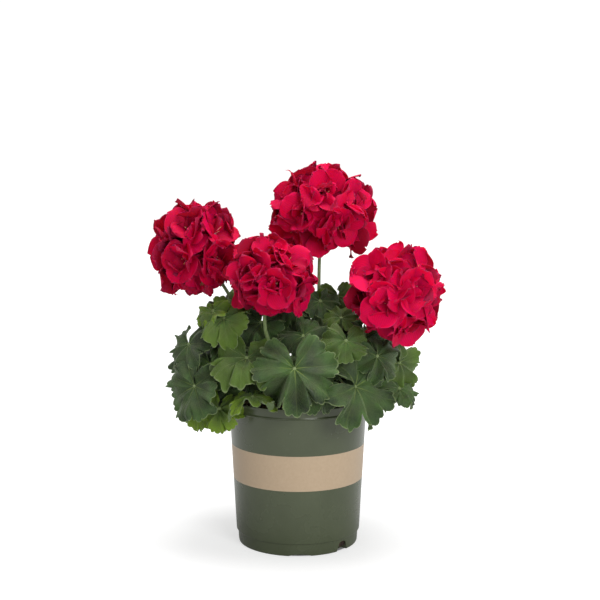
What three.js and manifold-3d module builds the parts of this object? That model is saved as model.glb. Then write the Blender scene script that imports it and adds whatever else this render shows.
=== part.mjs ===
// A potted geranium: a nursery pot full of potting mix, five leafy shoots that stand in it,
// and the four round heads of dark red flowers that the shoots carry on long stalks.
// Millimetres, +Z up, origin on the ground at the middle of the pot's base. The side of the
// plant that faces a viewer is towards -Y.

import * as THREE from 'three';
import { ConvexGeometry } from 'three/addons/geometries/ConvexGeometry.js';
import { mergeVertices } from 'three/addons/utils/BufferGeometryUtils.js';
import Module from 'manifold-3d';

const wasm = await Module();
wasm.setup();

// Driving dimensions of the pot
const POT_HEIGHT = 176;
const POT_SIDES = 40;
const WALL = 1.7;
const WALL_RADIUS_AT_GROUND = 72.9;
const WALL_FLARE = 0.0533;
const LIP_RADIUS = 84.5;
const LIP_DEPTH = 12.5;
const LIP_LEDGE = 1;
const FOOT_HEIGHT = 14.5;
const FOOT_STEP_RISE = 0.8;
const FOOT_RADIUS_TOP = 71.8;
const FOOT_RADIUS_GROUND = 70.9;
const FOOT_BEVEL = 4;
const FLOOR_THICKNESS = 4.6;

// The pot's openings at the ground. Angles are from the front, towards +X.
const CHANNELS = {
  angles: [2, 92, 182, 272], groundWidth: 28, topWidth: 18, height: 2.7, innerRadius: 24,
};
const DRAINS = {
  angles: [47, 227], groundWidth: 18, topWidth: 10, height: 12, innerRadius: 62,
};
const ARCH_SPRING = 0.82;
const BELOW_GROUND = 1;

// Driving dimensions of the potting mix, and the clearance between neighbouring pieces
const GAP = 0.3;
const MIX_RIM_HEIGHT = 157;
const MIX_MOUND = 5;
const MIX_SIDES = 24;
const HOLE_DEPTH = 26;

// Driving dimensions of the stems, petioles and flower stalks
const STEM_RADIUS = 4.6;
const STEM_BOW = 1.15;
const STALK_RADIUS = 2.4;
const STALK_START = 0.9;
const PETIOLE_RADIUS = 1.5;
const ROUND_SIDES = 6;

// Driving dimensions of a leaf. Shares are of the leaf's size, angles are in degrees.
const LEAF_THICKNESS = 0.9;
const LOBE_COUNT = 7;
const LOBE_ANGLE = 46;
const LAST_ANGLE = (LOBE_COUNT * LOBE_ANGLE) / 2;
const SHOULDER_SHARE = 0.28;
const NOTCH_SHARPNESS = 2.2;
const BASAL_SHORTENING = 0.16;
const TUCKED_SHARE = 0.42;
const FUNNEL_SHARE = 0.3;
const DROOP_SHARE = 0.28;
const PLEAT_SHARE = 0.05;
const HUB_POINTS = 5;
const HUB_RADIUS = 4.5;

// Driving dimensions of a floret. Shares are of the petal's length, angles are in degrees.
const PETAL_THICKNESS = 0.8;
const PETALS_PER_FLORET = 5;
const PETAL_SPACING = 360 / PETALS_PER_FLORET;
const PETAL_TIP_ANGLE = 17;
const PETAL_SIDE_ANGLE = 33;
const PETAL_SIDE_SHARE = 0.74;
const CLAW_LENGTH = 5;
const CLAW_TILT = 85;
const CORNER_DEPTH = 0.7;
const GOLDEN_ANGLE = 137.508;
const FLORET_TWIST = 31;

const COLOURS = {
  pot: { color: 0x565a4b, roughness: 0.45 },
  mix: { color: 0x2c211a, roughness: 0.95 },
  leaf: { color: 0x4c6033, roughness: 0.6 },
  petal: { color: 0xa50a30, roughness: 0.7 },
};

const radians = THREE.MathUtils.degToRad;

function vector(list) {
  return new THREE.Vector3(...list);
}

// A seeded row of numbers, so that every drawn size and angle is the same each time
function drawFrom(seed) {
  let state = seed;
  return (low, high) => {
    state = (state * 16807) % 2147483647;
    return low + (high - low) * (state / 2147483647);
  };
}

// Solids and meshes

function solidOf(geometry) {
  const bare = geometry.clone();
  bare.deleteAttribute('normal');
  bare.deleteAttribute('uv');
  const merged = mergeVertices(bare, 1e-4);
  return new wasm.Manifold(new wasm.Mesh({
    numProp: 3,
    vertProperties: Float32Array.from(merged.attributes.position.array),
    triVerts: Uint32Array.from(merged.index.array),
  }));
}

// The outer skin of the largest body: a hollow sealed by joining is filled, a scrap is dropped
function outerSkin(solid) {
  return solid.decompose().reduce(
    (largest, body) => (body.volume() > largest.volume() ? body : largest),
  );
}

function meshOf(name, solid, look) {
  const skin = outerSkin(solid).getMesh();
  const geometry = new THREE.BufferGeometry();
  geometry.setAttribute('position', new THREE.BufferAttribute(skin.vertProperties, 3));
  geometry.setIndex(new THREE.BufferAttribute(skin.triVerts, 1));
  geometry.computeVertexNormals();
  const mesh = new THREE.Mesh(geometry, new THREE.MeshStandardMaterial({ ...look, metalness: 0 }));
  mesh.name = name;
  return mesh;
}

// A profile of [radius, height] pairs turned round the pot's axis
function turnedSolid(profile, sides) {
  const turned = new THREE.LatheGeometry(profile.map(([r, z]) => new THREE.Vector2(r, z)), sides);
  turned.rotateX(Math.PI / 2);
  return solidOf(turned);
}

// A closed thin blade round a surface: each point is pushed out to both sides along the
// surface's own normal there, both faces are split alike, and the rim between them is closed
function bladeSolid(points, triangles, thickness) {
  const normals = points.map(() => new THREE.Vector3());
  const rim = new Map();
  for (const [a, b, c] of triangles) {
    const face = points[b].clone().sub(points[a]);
    face.cross(points[c].clone().sub(points[a]));
    for (const corner of [a, b, c]) normals[corner].add(face);
    for (const [from, to] of [[a, b], [b, c], [c, a]]) {
      if (!rim.delete(`${to},${from}`)) rim.set(`${from},${to}`, [from, to]);
    }
  }
  const positions = [];
  for (const side of [0.5, -0.5]) {
    points.forEach((point, i) => {
      const pushed = point.clone();
      pushed.addScaledVector(normals[i].clone().normalize(), side * thickness);
      positions.push(...pushed.toArray());
    });
  }
  const back = points.length;
  const index = [];
  for (const [a, b, c] of triangles) index.push(a, b, c, a + back, c + back, b + back);
  for (const [a, b] of rim.values()) index.push(b, a, a + back, b, a + back, b + back);
  const geometry = new THREE.BufferGeometry();
  geometry.setAttribute('position', new THREE.Float32BufferAttribute(positions, 3));
  geometry.setIndex(index);
  return solidOf(geometry);
}

// A rod of a few sides along a curve
function rodSolid(curve, radius, sides, steps) {
  const section = new THREE.Shape();
  for (let i = 0; i < sides; i++) {
    const angle = (i / sides) * Math.PI * 2;
    const corner = [radius * Math.cos(angle), radius * Math.sin(angle)];
    if (i === 0) section.moveTo(...corner);
    else section.lineTo(...corner);
  }
  section.closePath();
  const extrusion = { steps, extrudePath: curve, bevelEnabled: false };
  return solidOf(new THREE.ExtrudeGeometry(section, extrusion));
}

// The radius of a hole whose flats clear a rod of the same sides by the gap
function holeRadius(rodRadius) {
  return rodRadius + GAP / Math.cos(Math.PI / ROUND_SIDES);
}

// The pot

function wallRadius(z) {
  return WALL_RADIUS_AT_GROUND + WALL_FLARE * z;
}

function potProfile() {
  const ledge = POT_HEIGHT - LIP_DEPTH;
  const wallFoot = FOOT_HEIGHT + FOOT_STEP_RISE;
  return [
    [0, 0],
    [FOOT_RADIUS_GROUND, 0],
    [FOOT_RADIUS_TOP, FOOT_HEIGHT],
    [wallRadius(wallFoot), wallFoot],
    [wallRadius(ledge), ledge],
    [wallRadius(ledge) + LIP_LEDGE, ledge + LIP_LEDGE],
    [LIP_RADIUS, POT_HEIGHT - LIP_LEDGE],
    [LIP_RADIUS - WALL / 2, POT_HEIGHT],
    [LIP_RADIUS - WALL, POT_HEIGHT - LIP_LEDGE / 2],
    [wallRadius(ledge) - WALL, ledge],
    [wallRadius(FOOT_HEIGHT) - WALL, FOOT_HEIGHT + FOOT_BEVEL],
    [FOOT_RADIUS_TOP - WALL, FOOT_HEIGHT],
    [FOOT_RADIUS_GROUND - WALL, FLOOR_THICKNESS],
    [0, FLOOR_THICKNESS],
  ];
}

// The empty space of one way through the foot: a low arch that runs in towards the axis
function footOpening(opening, angle) {
  const { groundWidth, topWidth, height, innerRadius } = opening;
  const half = [
    [groundWidth / 2, -BELOW_GROUND],
    [groundWidth / 2, 0],
    [topWidth / 2, height * ARCH_SPRING],
    [topWidth / 4, height],
  ];
  const mirrored = half.map(([x, z]) => [-x, z]).reverse();
  const arch = new THREE.Shape([...half, ...mirrored].map(([x, z]) => new THREE.Vector2(x, z)));
  const depth = LIP_RADIUS - innerRadius;
  const cutter = new THREE.ExtrudeGeometry(arch, { depth, bevelEnabled: false });
  cutter.rotateX(Math.PI / 2);
  cutter.translate(0, -innerRadius, 0);
  cutter.rotateZ(radians(angle));
  return solidOf(cutter);
}

function pot() {
  let body = turnedSolid(potProfile(), POT_SIDES);
  for (const opening of [CHANNELS, DRAINS]) {
    for (const angle of opening.angles) body = body.subtract(footOpening(opening, angle));
  }
  return meshOf('pot', body, COLOURS.pot);
}

// The potting mix: it fills the pot, lies a little mounded on top, and has a plain hole for
// the stem of each shoot

function pottingMix(shoots) {
  const clear = WALL + 2 * GAP;
  const rim = wallRadius(MIX_RIM_HEIGHT) - clear;
  const profile = [
    [0, FLOOR_THICKNESS + GAP],
    [FOOT_RADIUS_GROUND - clear, FLOOR_THICKNESS + GAP],
    [FOOT_RADIUS_TOP - clear, FOOT_HEIGHT],
    [wallRadius(FOOT_HEIGHT) - clear, FOOT_HEIGHT + FOOT_BEVEL],
    [rim, MIX_RIM_HEIGHT],
    [rim / 2, MIX_RIM_HEIGHT + MIX_MOUND],
    [0, MIX_RIM_HEIGHT + MIX_MOUND],
  ];
  let body = turnedSolid(profile, MIX_SIDES);
  for (const shoot of shoots) {
    body = body.subtract(stemRod(shoot, holeRadius(STEM_RADIUS), HOLE_DEPTH + GAP));
  }
  return meshOf('potting_mix', body, COLOURS.mix);
}

// A leaf

// The blade's own directions: out of its upper face, down its middle lobe, and across it
function leafAxes(leaf) {
  const [turn, lift] = leaf.faces.map(radians);
  const face = new THREE.Vector3(
    Math.cos(lift) * Math.sin(turn), -Math.cos(lift) * Math.cos(turn), Math.sin(lift),
  );
  const downhill = new THREE.Vector3(
    Math.sin(lift) * Math.sin(turn), -Math.sin(lift) * Math.cos(turn), -Math.cos(lift),
  );
  const along = downhill.applyAxisAngle(face, radians(leaf.spin));
  const across = along.clone().cross(face);
  return { face, along, across };
}

// The seeded ways in which one leaf differs from the next
function leafHabit(leaf) {
  const draw = drawFrom(leaf.seed);
  const notches = [];
  for (let i = 0; i <= LOBE_COUNT; i++) notches.push(leaf.lobing * draw(0.7, 1.3));
  const waves = Math.floor(draw(4, 7));
  const phase = draw(0, 2 * Math.PI);
  const wave = draw(0.07, 0.13);
  return { notches, waves, phase, wave, tucked: leaf.tucked };
}

// The blade's radius at an angle from its middle lobe: rounded lobes with a notch between,
// and at most one lobe that is tucked back under the leaf
function leafOutline(angle, habit) {
  const place = angle / LOBE_ANGLE;
  const lobe = Math.round(place);
  const inLobe = place - lobe;
  const notch = habit.notches[lobe + (LOBE_COUNT - 1) / 2 + (inLobe > 0 ? 1 : 0)];
  const cut = notch * Math.pow(2 * Math.abs(inLobe), NOTCH_SHARPNESS);
  const tuck = lobe === habit.tucked ? Math.pow(Math.cos(Math.PI * inLobe), 2) : 0;
  const shortened = BASAL_SHORTENING * Math.pow(angle / LAST_ANGLE, 2);
  return (1 - shortened) * (1 - cut) * (1 - TUCKED_SHARE * tuck);
}

// How far the blade stands out of its own plane at a share of the way to its margin: a
// shallow funnel, a drooping edge, a pleat in each lobe, a waved margin, a fold and a hem,
// which is how far the front margin hangs
function leafHeight(share, angle, leaf, habit) {
  const droop = FUNNEL_SHARE * share - DROOP_SHARE * share * share;
  const pleat = -PLEAT_SHARE * share * Math.cos((2 * Math.PI * angle) / LOBE_ANGLE);
  const wave = habit.wave * share * share * Math.sin(radians(angle) * habit.waves + habit.phase);
  const fold = leaf.fold * Math.pow(share * Math.sin(radians(angle)), 2);
  const hem = leaf.hem * share * Math.max(Math.cos(radians(angle)), 0);
  return droop + pleat + wave + fold - hem;
}

// The blade's surface, as a function from a share of the way out and an angle to a point
function leafSurface(leaf) {
  const { face, along, across } = leafAxes(leaf);
  const habit = leafHabit(leaf);
  return (share, angle) => {
    const radius = leaf.size * leafOutline(angle, habit) * share;
    return vector(leaf.at)
      .addScaledVector(along, radius * Math.cos(radians(angle)))
      .addScaledVector(across, radius * Math.sin(radians(angle)))
      .addScaledVector(face, leaf.size * leafHeight(share, angle, leaf, habit));
  };
}

// The few points round the petiole's end, where the lobes meet
function leafHub(leaf) {
  const pointAt = leafSurface(leaf);
  const points = [];
  for (let i = 0; i < HUB_POINTS; i++) {
    const angle = ((2 * i) / (HUB_POINTS - 1) - 1) * LAST_ANGLE;
    points.push(pointAt(HUB_RADIUS / leaf.size, angle));
  }
  return points;
}

// Each lobe is a fan from its nearest hub point to a notch, two shoulders and the next notch
function leafBlade(leaf) {
  const pointAt = leafSurface(leaf);
  const points = leafHub(leaf);
  const lastHub = HUB_POINTS - 1;
  const triangles = [];
  for (let i = 1; i < lastHub; i++) triangles.push([0, i + 1, i]);
  points.push(pointAt(1, -LAST_ANGLE));
  let hub = 0;
  for (let lobe = 0; lobe < LOBE_COUNT; lobe++) {
    const middle = (lobe + 0.5) * LOBE_ANGLE - LAST_ANGLE;
    const notch = points.length - 1;
    for (const share of [-SHOULDER_SHARE, SHOULDER_SHARE, 0.5]) {
      points.push(pointAt(1, middle + share * LOBE_ANGLE));
    }
    const nextHub = Math.round((lobe * lastHub) / (LOBE_COUNT - 1));
    if (nextHub > hub) triangles.push([hub, nextHub, notch]);
    hub = nextHub;
    for (let i = notch; i < notch + 3; i++) triangles.push([hub, i + 1, i]);
  }
  return bladeSolid(points, triangles, LEAF_THICKNESS);
}

// The petiole leaves the stem upwards and outwards, and meets the blade from behind
function petiole(shoot, leaf) {
  const { face, along } = leafAxes(leaf);
  const start = stemCurve(shoot, HOLE_DEPTH).getPoint(leaf.from);
  const end = new THREE.Vector3();
  for (const point of leafHub(leaf)) end.addScaledVector(point, 1 / HUB_POINTS);
  const length = start.distanceTo(end);
  const leave = end.clone().sub(start).setZ(0).setLength(0.25 * length).setZ(0.3 * length);
  const arrive = face.clone().multiplyScalar(0.32 * length).addScaledVector(along, 0.1 * length);
  const route = new THREE.CubicBezierCurve3(start, leave.add(start), end.clone().sub(arrive), end);
  return rodSolid(route, PETIOLE_RADIUS, 3, 3);
}

// A leafy shoot: its stem, its leaves on their petioles and, on four of them, a flower stalk

function stemCurve(shoot, depth) {
  const [x, y] = shoot.foot;
  const foot = new THREE.Vector3(x, y, MIX_RIM_HEIGHT - depth);
  const tip = vector(shoot.tip);
  const bow = new THREE.Vector3(x * STEM_BOW, y * STEM_BOW, (MIX_RIM_HEIGHT + tip.z) / 2);
  return new THREE.QuadraticBezierCurve3(foot, bow, tip);
}

function stemRod(shoot, radius, depth) {
  return rodSolid(stemCurve(shoot, depth), radius, ROUND_SIDES, 5);
}

// The stalk's route from near the stem's tip to a point short of the head's middle
function stalkRod(shoot, radius, shortBy) {
  const start = stemCurve(shoot, HOLE_DEPTH).getPoint(STALK_START);
  const end = vector(shoot.head.umbel);
  end.z -= shortBy;
  const route = new THREE.CatmullRomCurve3([start, ...shoot.head.stalk.map(vector), end]);
  return rodSolid(route, radius, ROUND_SIDES, 8);
}

function leafyShoot(shoot) {
  let body = stemRod(shoot, STEM_RADIUS, HOLE_DEPTH);
  for (const leaf of shoot.leaves) body = body.add(petiole(shoot, leaf)).add(leafBlade(leaf));
  if (shoot.head) body = body.add(stalkRod(shoot, STALK_RADIUS, GAP));
  return meshOf(shoot.name, body, COLOURS.leaf);
}

// A flower head

// Two directions square to an axis and to each other
function crosswise(axis) {
  const guide = Math.abs(axis.z) > 0.9 ? new THREE.Vector3(1, 0, 0) : new THREE.Vector3(0, 0, 1);
  const first = guide.cross(axis).normalize();
  return { first, second: axis.clone().cross(first) };
}

// Florets at even spacing from the head's top down to its spread, each with drawn petals,
// then all turned round a level line as the head leans
function florets(head) {
  const draw = drawFrom(head.seed);
  const lowest = Math.cos(radians(head.spread));
  const [hingeTurn, leanAngle] = head.lean.map(radians);
  const hinge = new THREE.Vector3(Math.cos(hingeTurn), Math.sin(hingeTurn), 0);
  const lean = new THREE.Quaternion().setFromAxisAngle(hinge, leanAngle);
  const list = [];
  for (let i = 0; i < head.florets; i++) {
    const height = 1 - ((1 - lowest) * (i + 0.5)) / head.florets;
    const level = Math.sqrt(1 - height * height);
    const round = radians(i * GOLDEN_ANGLE + head.turn + draw(-8, 8));
    const axis = new THREE.Vector3(level * Math.cos(round), level * Math.sin(round), height);
    const petals = [];
    for (let j = 0; j < PETALS_PER_FLORET; j++) {
      const tilt = draw(34, 62);
      const length = head.petal * draw(0.88, 1.08);
      const curl = draw(-4, 12);
      const skew = draw(-0.12, 0.12);
      petals.push({ round: PETAL_SPACING * j + FLORET_TWIST * i, tilt, length, curl, skew });
    }
    const { first, second } = crosswise(axis);
    for (const direction of [axis, first, second]) direction.applyQuaternion(lean);
    list.push({ axis, first, second, petals });
  }
  return list;
}

// One floret's petals, as a thin cup that is cut between the petals nearly to its middle
function floretBlade(root, floret) {
  const at = (round, tilt, radius, lift) => {
    const reach = radius * Math.sin(radians(tilt));
    return root.clone()
      .addScaledVector(floret.first, reach * Math.cos(radians(round)))
      .addScaledVector(floret.second, reach * Math.sin(radians(round)))
      .addScaledVector(floret.axis, radius * Math.cos(radians(tilt)) + lift);
  };
  const points = [];
  const triangles = [];
  floret.petals.forEach(({ round, tilt, length, curl, skew }, i) => {
    const lift = length * skew;
    const claw = points.length;
    const nextClaw = (claw + 5) % (5 * PETALS_PER_FLORET);
    points.push(at(round - PETAL_SPACING / 2, CLAW_TILT, CLAW_LENGTH, 0));
    points.push(at(round - PETAL_SIDE_ANGLE, tilt, PETAL_SIDE_SHARE * length, -lift));
    points.push(at(round - PETAL_TIP_ANGLE, tilt + curl, length, -lift / 2));
    points.push(at(round + PETAL_TIP_ANGLE, tilt + curl, length, lift / 2));
    points.push(at(round + PETAL_SIDE_ANGLE, tilt, PETAL_SIDE_SHARE * length, lift));
    triangles.push([claw, claw + 1, claw + 2]);
    triangles.push([claw, claw + 2, claw + 3]);
    triangles.push([claw, claw + 3, nextClaw]);
    triangles.push([nextClaw, claw + 3, claw + 4]);
    if (i > 0 && i < PETALS_PER_FLORET - 1) triangles.push([0, claw, nextClaw]);
  });
  return bladeSolid(points, triangles, PETAL_THICKNESS);
}

// The head's small core carries a floret at each of its corners. It is drawn out upwards and
// downwards as far as the real head is taller than wide, and takes the stalk in a socket.
function flowerHead(shoot) {
  const head = shoot.head;
  const umbel = vector(head.umbel);
  const list = florets(head);
  const corners = list.map((floret) => umbel.clone().addScaledVector(floret.axis, head.core));
  let body = solidOf(new ConvexGeometry(corners));
  list.forEach((floret, i) => {
    const root = corners[i].clone().addScaledVector(floret.axis, -CORNER_DEPTH);
    body = body.add(floretBlade(root, floret));
  });
  body = body.translate([-umbel.x, -umbel.y, -umbel.z])
    .scale([1, 1, head.tall])
    .translate([umbel.x, umbel.y, umbel.z]);
  body = body.subtract(stalkRod(shoot, holeRadius(STALK_RADIUS), 0));
  return meshOf(head.name, body, COLOURS.petal);
}

// The plant's own layout

// A leaf is given by where its petiole ends, the way that its upper face looks (its turn
// from the front towards +X, and its lift above level), how far its middle lobe is turned
// from straight downhill, its size, and where along the stem its petiole leaves.
function leafAt(at, faces, spin, size, from, habit = {}) {
  return { at, faces, spin, size, from, fold: 0, hem: 0, lobing: 0.24, ...habit };
}

const DEEPLY_LOBED = { lobing: 0.31 };
const ROUNDED = { lobing: 0.16 };
const ARCHED = { fold: -0.5 };
const HEMMED = { hem: 0.3 };

// From the left round to the rear, with each shoot's largest outer leaves first. A head's
// lean is the way that its level hinge points, anticlockwise from +X, and its angle.
const SHOOTS = [
  {
    name: 'leafy_shoot_left',
    foot: [-24, -10],
    tip: [-56, -14, 236],
    leaves: [
      leafAt([-118, -62, 199], [-38, 14], -10, 43, 0.62),
      leafAt([-126, -36, 243], [-50, 26], 10, 35, 0.75, ROUNDED),
      leafAt([-124, 14, 230], [-70, 52], 0, 40, 0.65),
      leafAt([-85, -48, 275], [-22, 50], -20, 36, 0.95, HEMMED),
      leafAt([-84, 0, 286], [-75, 56], 0, 32, 0.97),
      leafAt([-100, -50, 222], [-26, 32], 20, 35, 0.6),
      leafAt([-110, -42, 168], [-34, 22], 25, 28, 0.55),
      leafAt([-90, -58, 172], [-18, 16], -5, 29, 0.5),
      leafAt([-98, -36, 282], [-40, 46], 20, 25, 0.97),
    ],
    head: {
      name: 'flower_head_left',
      umbel: [-117, 0, 350],
      stalk: [[-77, -10, 291]],
      core: 28,
      petal: 33,
      florets: 12,
      spread: 125,
      lean: [-90, 25],
      tall: 1.14,
      turn: 0,
      seed: 17,
    },
  },
  {
    name: 'leafy_shoot_front',
    foot: [-4, -26],
    tip: [-26, -42, 232],
    leaves: [
      leafAt([-4, -104, 227], [4, 28], 3, 52, 0.7, { ...DEEPLY_LOBED, tucked: 1 }),
      leafAt([-58, -76, 234], [-12, 62], 4, 46, 0.75, HEMMED),
      leafAt([6, -58, 256], [2, 48], 40, 34, 0.9),
      leafAt([-43, -30, 268], [-8, 38], -30, 32, 0.97),
      leafAt([-51, -86, 191], [0, 80], 0, 30, 0.5, ARCHED),
      leafAt([22, -84, 202], [10, 30], -20, 30, 0.5),
    ],
    head: {
      name: 'flower_head_front',
      umbel: [-30, -62, 323],
      stalk: [[-37, -54, 262], [-36, -61, 300]],
      core: 27,
      petal: 31,
      florets: 12,
      spread: 125,
      lean: [0, 6],
      tall: 1,
      turn: 40,
      seed: 34,
    },
  },
  {
    name: 'leafy_shoot_right',
    foot: [22, -14],
    tip: [62, -26, 238],
    leaves: [
      leafAt([64, -86, 203], [44, 24], 60, 53, 0.6, DEEPLY_LOBED),
      leafAt([119, -16, 218], [42, 24], 10, 34, 0.7),
      leafAt([90, -64, 234], [35, 30], 20, 32, 0.8),
      leafAt([54, -78, 254], [14, 34], -10, 29, 0.9, DEEPLY_LOBED),
      leafAt([106, -12, 246], [70, 48], 0, 30, 0.95),
      leafAt([34, -50, 230], [10, 30], -15, 30, 0.7),
      leafAt([118, -32, 190], [40, 48], -20, 27, 0.6),
      leafAt([50, -38, 274], [6, 50], 170, 22, 0.97, DEEPLY_LOBED),
    ],
    head: {
      name: 'flower_head_right',
      umbel: [111, -58, 304],
      stalk: [[84, -40, 266]],
      core: 29,
      petal: 35,
      florets: 12,
      spread: 125,
      lean: [50, 28],
      tall: 1.05,
      turn: 10,
      seed: 8,
    },
  },
  {
    name: 'leafy_shoot_rear_right',
    foot: [12, 14],
    tip: [30, 20, 256],
    leaves: [
      leafAt([110, 42, 226], [105, 30], 0, 42, 0.65),
      leafAt([74, 92, 224], [145, 30], 0, 42, 0.6),
      leafAt([20, 110, 224], [172, 26], 0, 41, 0.6),
      leafAt([36, 70, 280], [160, 55], 0, 36, 0.95),
      leafAt([86, 36, 274], [110, 52], 0, 34, 0.9),
      leafAt([100, 66, 186], [125, 24], 0, 34, 0.5),
      leafAt([47, 6, 293], [14, 32], 0, 29, 0.97),
      leafAt([26, -12, 290], [8, 45], 0, 26, 0.95),
    ],
    head: {
      name: 'flower_head_rear',
      umbel: [30, 20, 389],
      stalk: [[25, 12, 290], [26, 19, 345]],
      core: 36,
      petal: 34,
      florets: 15,
      spread: 128,
      lean: [0, 5],
      tall: 1,
      turn: 0,
      seed: 16,
    },
  },
  {
    name: 'leafy_shoot_rear_left',
    foot: [-14, 16],
    tip: [-34, 40, 240],
    leaves: [
      leafAt([-92, 76, 220], [-132, 24], 0, 40, 0.65),
      leafAt([-52, 108, 228], [-158, 28], 0, 40, 0.65),
      leafAt([-66, 58, 276], [-130, 50], 0, 35, 0.95),
      leafAt([-88, 92, 184], [-140, 20], 0, 34, 0.5),
      leafAt([-18, 104, 190], [-172, 24], 0, 32, 0.5),
      leafAt([-20, 56, 290], [175, 60], 0, 32, 0.97),
      leafAt([-42, 16, 294], [-70, 68], 0, 30, 0.97),
      leafAt([-10, -14, 280], [-5, 50], 30, 24, 0.97),
    ],
  },
];

// Each leaf's habit is drawn from a seed of its own
SHOOTS.forEach((shoot, i) => {
  shoot.leaves.forEach((leaf, j) => {
    leaf.seed = 101 + 40 * i + 7 * j;
  });
});

const group = new THREE.Group();
group.add(pot(), pottingMix(SHOOTS));
for (const shoot of SHOOTS) {
  group.add(leafyShoot(shoot));
  if (shoot.head) group.add(flowerHead(shoot));
}

export default group;
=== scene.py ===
# A zonal geranium in its nursery pot: an olive green pot with a bare tan band, potting mix,
# five leafy shoots and four round heads of dark red flowers. The solids of the CAD frame give
# each piece its place, and the pieces here stand for them with all of their own detail.

import functools
import math

import bmesh
import bpy
import numpy as np
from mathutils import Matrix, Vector, noise


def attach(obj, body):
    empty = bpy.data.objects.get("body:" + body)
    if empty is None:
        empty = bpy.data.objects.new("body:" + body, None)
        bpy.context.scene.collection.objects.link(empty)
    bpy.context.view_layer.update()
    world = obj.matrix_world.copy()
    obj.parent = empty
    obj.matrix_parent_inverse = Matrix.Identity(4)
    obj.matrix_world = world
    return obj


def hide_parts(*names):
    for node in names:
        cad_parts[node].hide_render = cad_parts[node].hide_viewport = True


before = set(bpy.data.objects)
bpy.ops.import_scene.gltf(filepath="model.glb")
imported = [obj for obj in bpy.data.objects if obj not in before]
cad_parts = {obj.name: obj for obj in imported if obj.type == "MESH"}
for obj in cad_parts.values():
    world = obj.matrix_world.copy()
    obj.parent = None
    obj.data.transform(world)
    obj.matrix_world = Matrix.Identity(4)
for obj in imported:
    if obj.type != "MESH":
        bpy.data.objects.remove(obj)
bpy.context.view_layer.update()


# The studio. A camera stands 1.6 m in front of the pot and looks a little down on it, as the photographer
# did. The floor and the background are one white sweep that glows so brightly that it stays white, with a
# painted shadow round the pot, and a softbox above and one to the right.

FOCAL_PIXELS = 1346.1
IMAGE_PIXELS = 600
SHIFT_PIXELS = 2.07
SENSOR_MM = 36
CAMERA_PLACE = (0, -1.5748, 0.5028)
CAMERA_DIP = 0.1342


def add_object(name, data):
    """An object of the scene that shows a camera, a light or a mesh."""
    made = bpy.data.objects.new(name, data)
    bpy.context.collection.objects.link(made)
    return made


camera_data = bpy.data.cameras.new("studio_camera")
camera_data.sensor_width = SENSOR_MM
camera_data.lens = FOCAL_PIXELS * SENSOR_MM / IMAGE_PIXELS
camera_data.shift_x = SHIFT_PIXELS / IMAGE_PIXELS
camera_data.clip_start = 0.05
camera_data.clip_end = 50
camera = add_object("studio_camera", camera_data)
camera.location = CAMERA_PLACE
camera.rotation_euler = (math.pi / 2 - CAMERA_DIP, 0, 0)
bpy.context.scene.camera = camera
bpy.context.scene.view_settings.view_transform = "Standard"
bpy.context.scene.view_settings.look = "None"


def linear(colour):
    """An sRGB hex colour as the linear colour that a shader takes."""
    values = [int(colour[i : i + 2], 16) / 255 for i in (1, 3, 5)]
    return [*(v / 12.92 if v <= 0.04045 else ((v + 0.055) / 1.055) ** 2.4 for v in values), 1]


def add_node(tree, kind, inputs=(), **settings):
    """A node with its settings made, and its inputs set to a value or linked to a node.

    Inputs go by name, or in a list that follows the node's own order: for a Mix its share and
    two colours, for a MapRange its value, the range that comes in and the range that goes out.
    """
    made = tree.nodes.new("ShaderNode" + kind)
    if kind == "Mix":
        made.data_type = "RGBA"
    for setting, value in settings.items():
        setattr(made, setting, value)
    entries = [socket for socket in made.inputs if socket.enabled]
    if isinstance(inputs, dict):
        entries = [next(entry for entry in entries if entry.name == name) for name in inputs]
        inputs = inputs.values()
    for entry, value in zip(entries, inputs):
        if isinstance(value, bpy.types.Node):
            value = next(socket for socket in value.outputs if socket.enabled)
        if isinstance(value, bpy.types.NodeSocket):
            tree.links.new(value, entry)
        elif isinstance(value, str):
            entry.default_value = linear(value)
        else:
            entry.default_value = value
    return made


def add_softbox(name, place, look_at, width, power):
    """A square softbox that faces a point."""
    light_data = bpy.data.lights.new(name, "AREA")
    light_data.size = width
    light_data.energy = power
    light = add_object(name, light_data)
    light.location = place
    light.rotation_euler = (Vector(look_at) - Vector(place)).to_track_quat("-Z", "Y").to_euler()


add_softbox("softbox_above", (0.15, 0.0, 1.7), (0, 0, 0.25), 1.0, 22)
add_softbox("softbox_right", (0.9, -1.9, 1.0), (0, 0, 0.2), 0.9, 23)

# The background is seen as pure white, shines in the satin skins nearly as white, and lights
# the plant much less than that
world = bpy.data.worlds.new("white_studio")
world.use_nodes = True
world.node_tree.nodes.clear()
node = functools.partial(add_node, world.node_tree)
rays = node("LightPath").outputs
mirrored = node("MapRange", [rays["Is Glossy Ray"], 0, 1, 0.31, 0.95])
strength = node("MapRange", [rays["Is Camera Ray"], 0, 1, mirrored, 1.05])
glow = node("Background", {"Color": "#ffffff", "Strength": strength})
node("OutputWorld", [glow])
bpy.context.scene.world = world


def new_material(name):
    """A node material, the call that adds a node to it, and its place on the object."""
    material = bpy.data.materials.new(name)
    material.use_nodes = True
    material.node_tree.nodes.clear()
    add = functools.partial(add_node, material.node_tree)
    return material, add, add("TexCoord").outputs["Object"]
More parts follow.
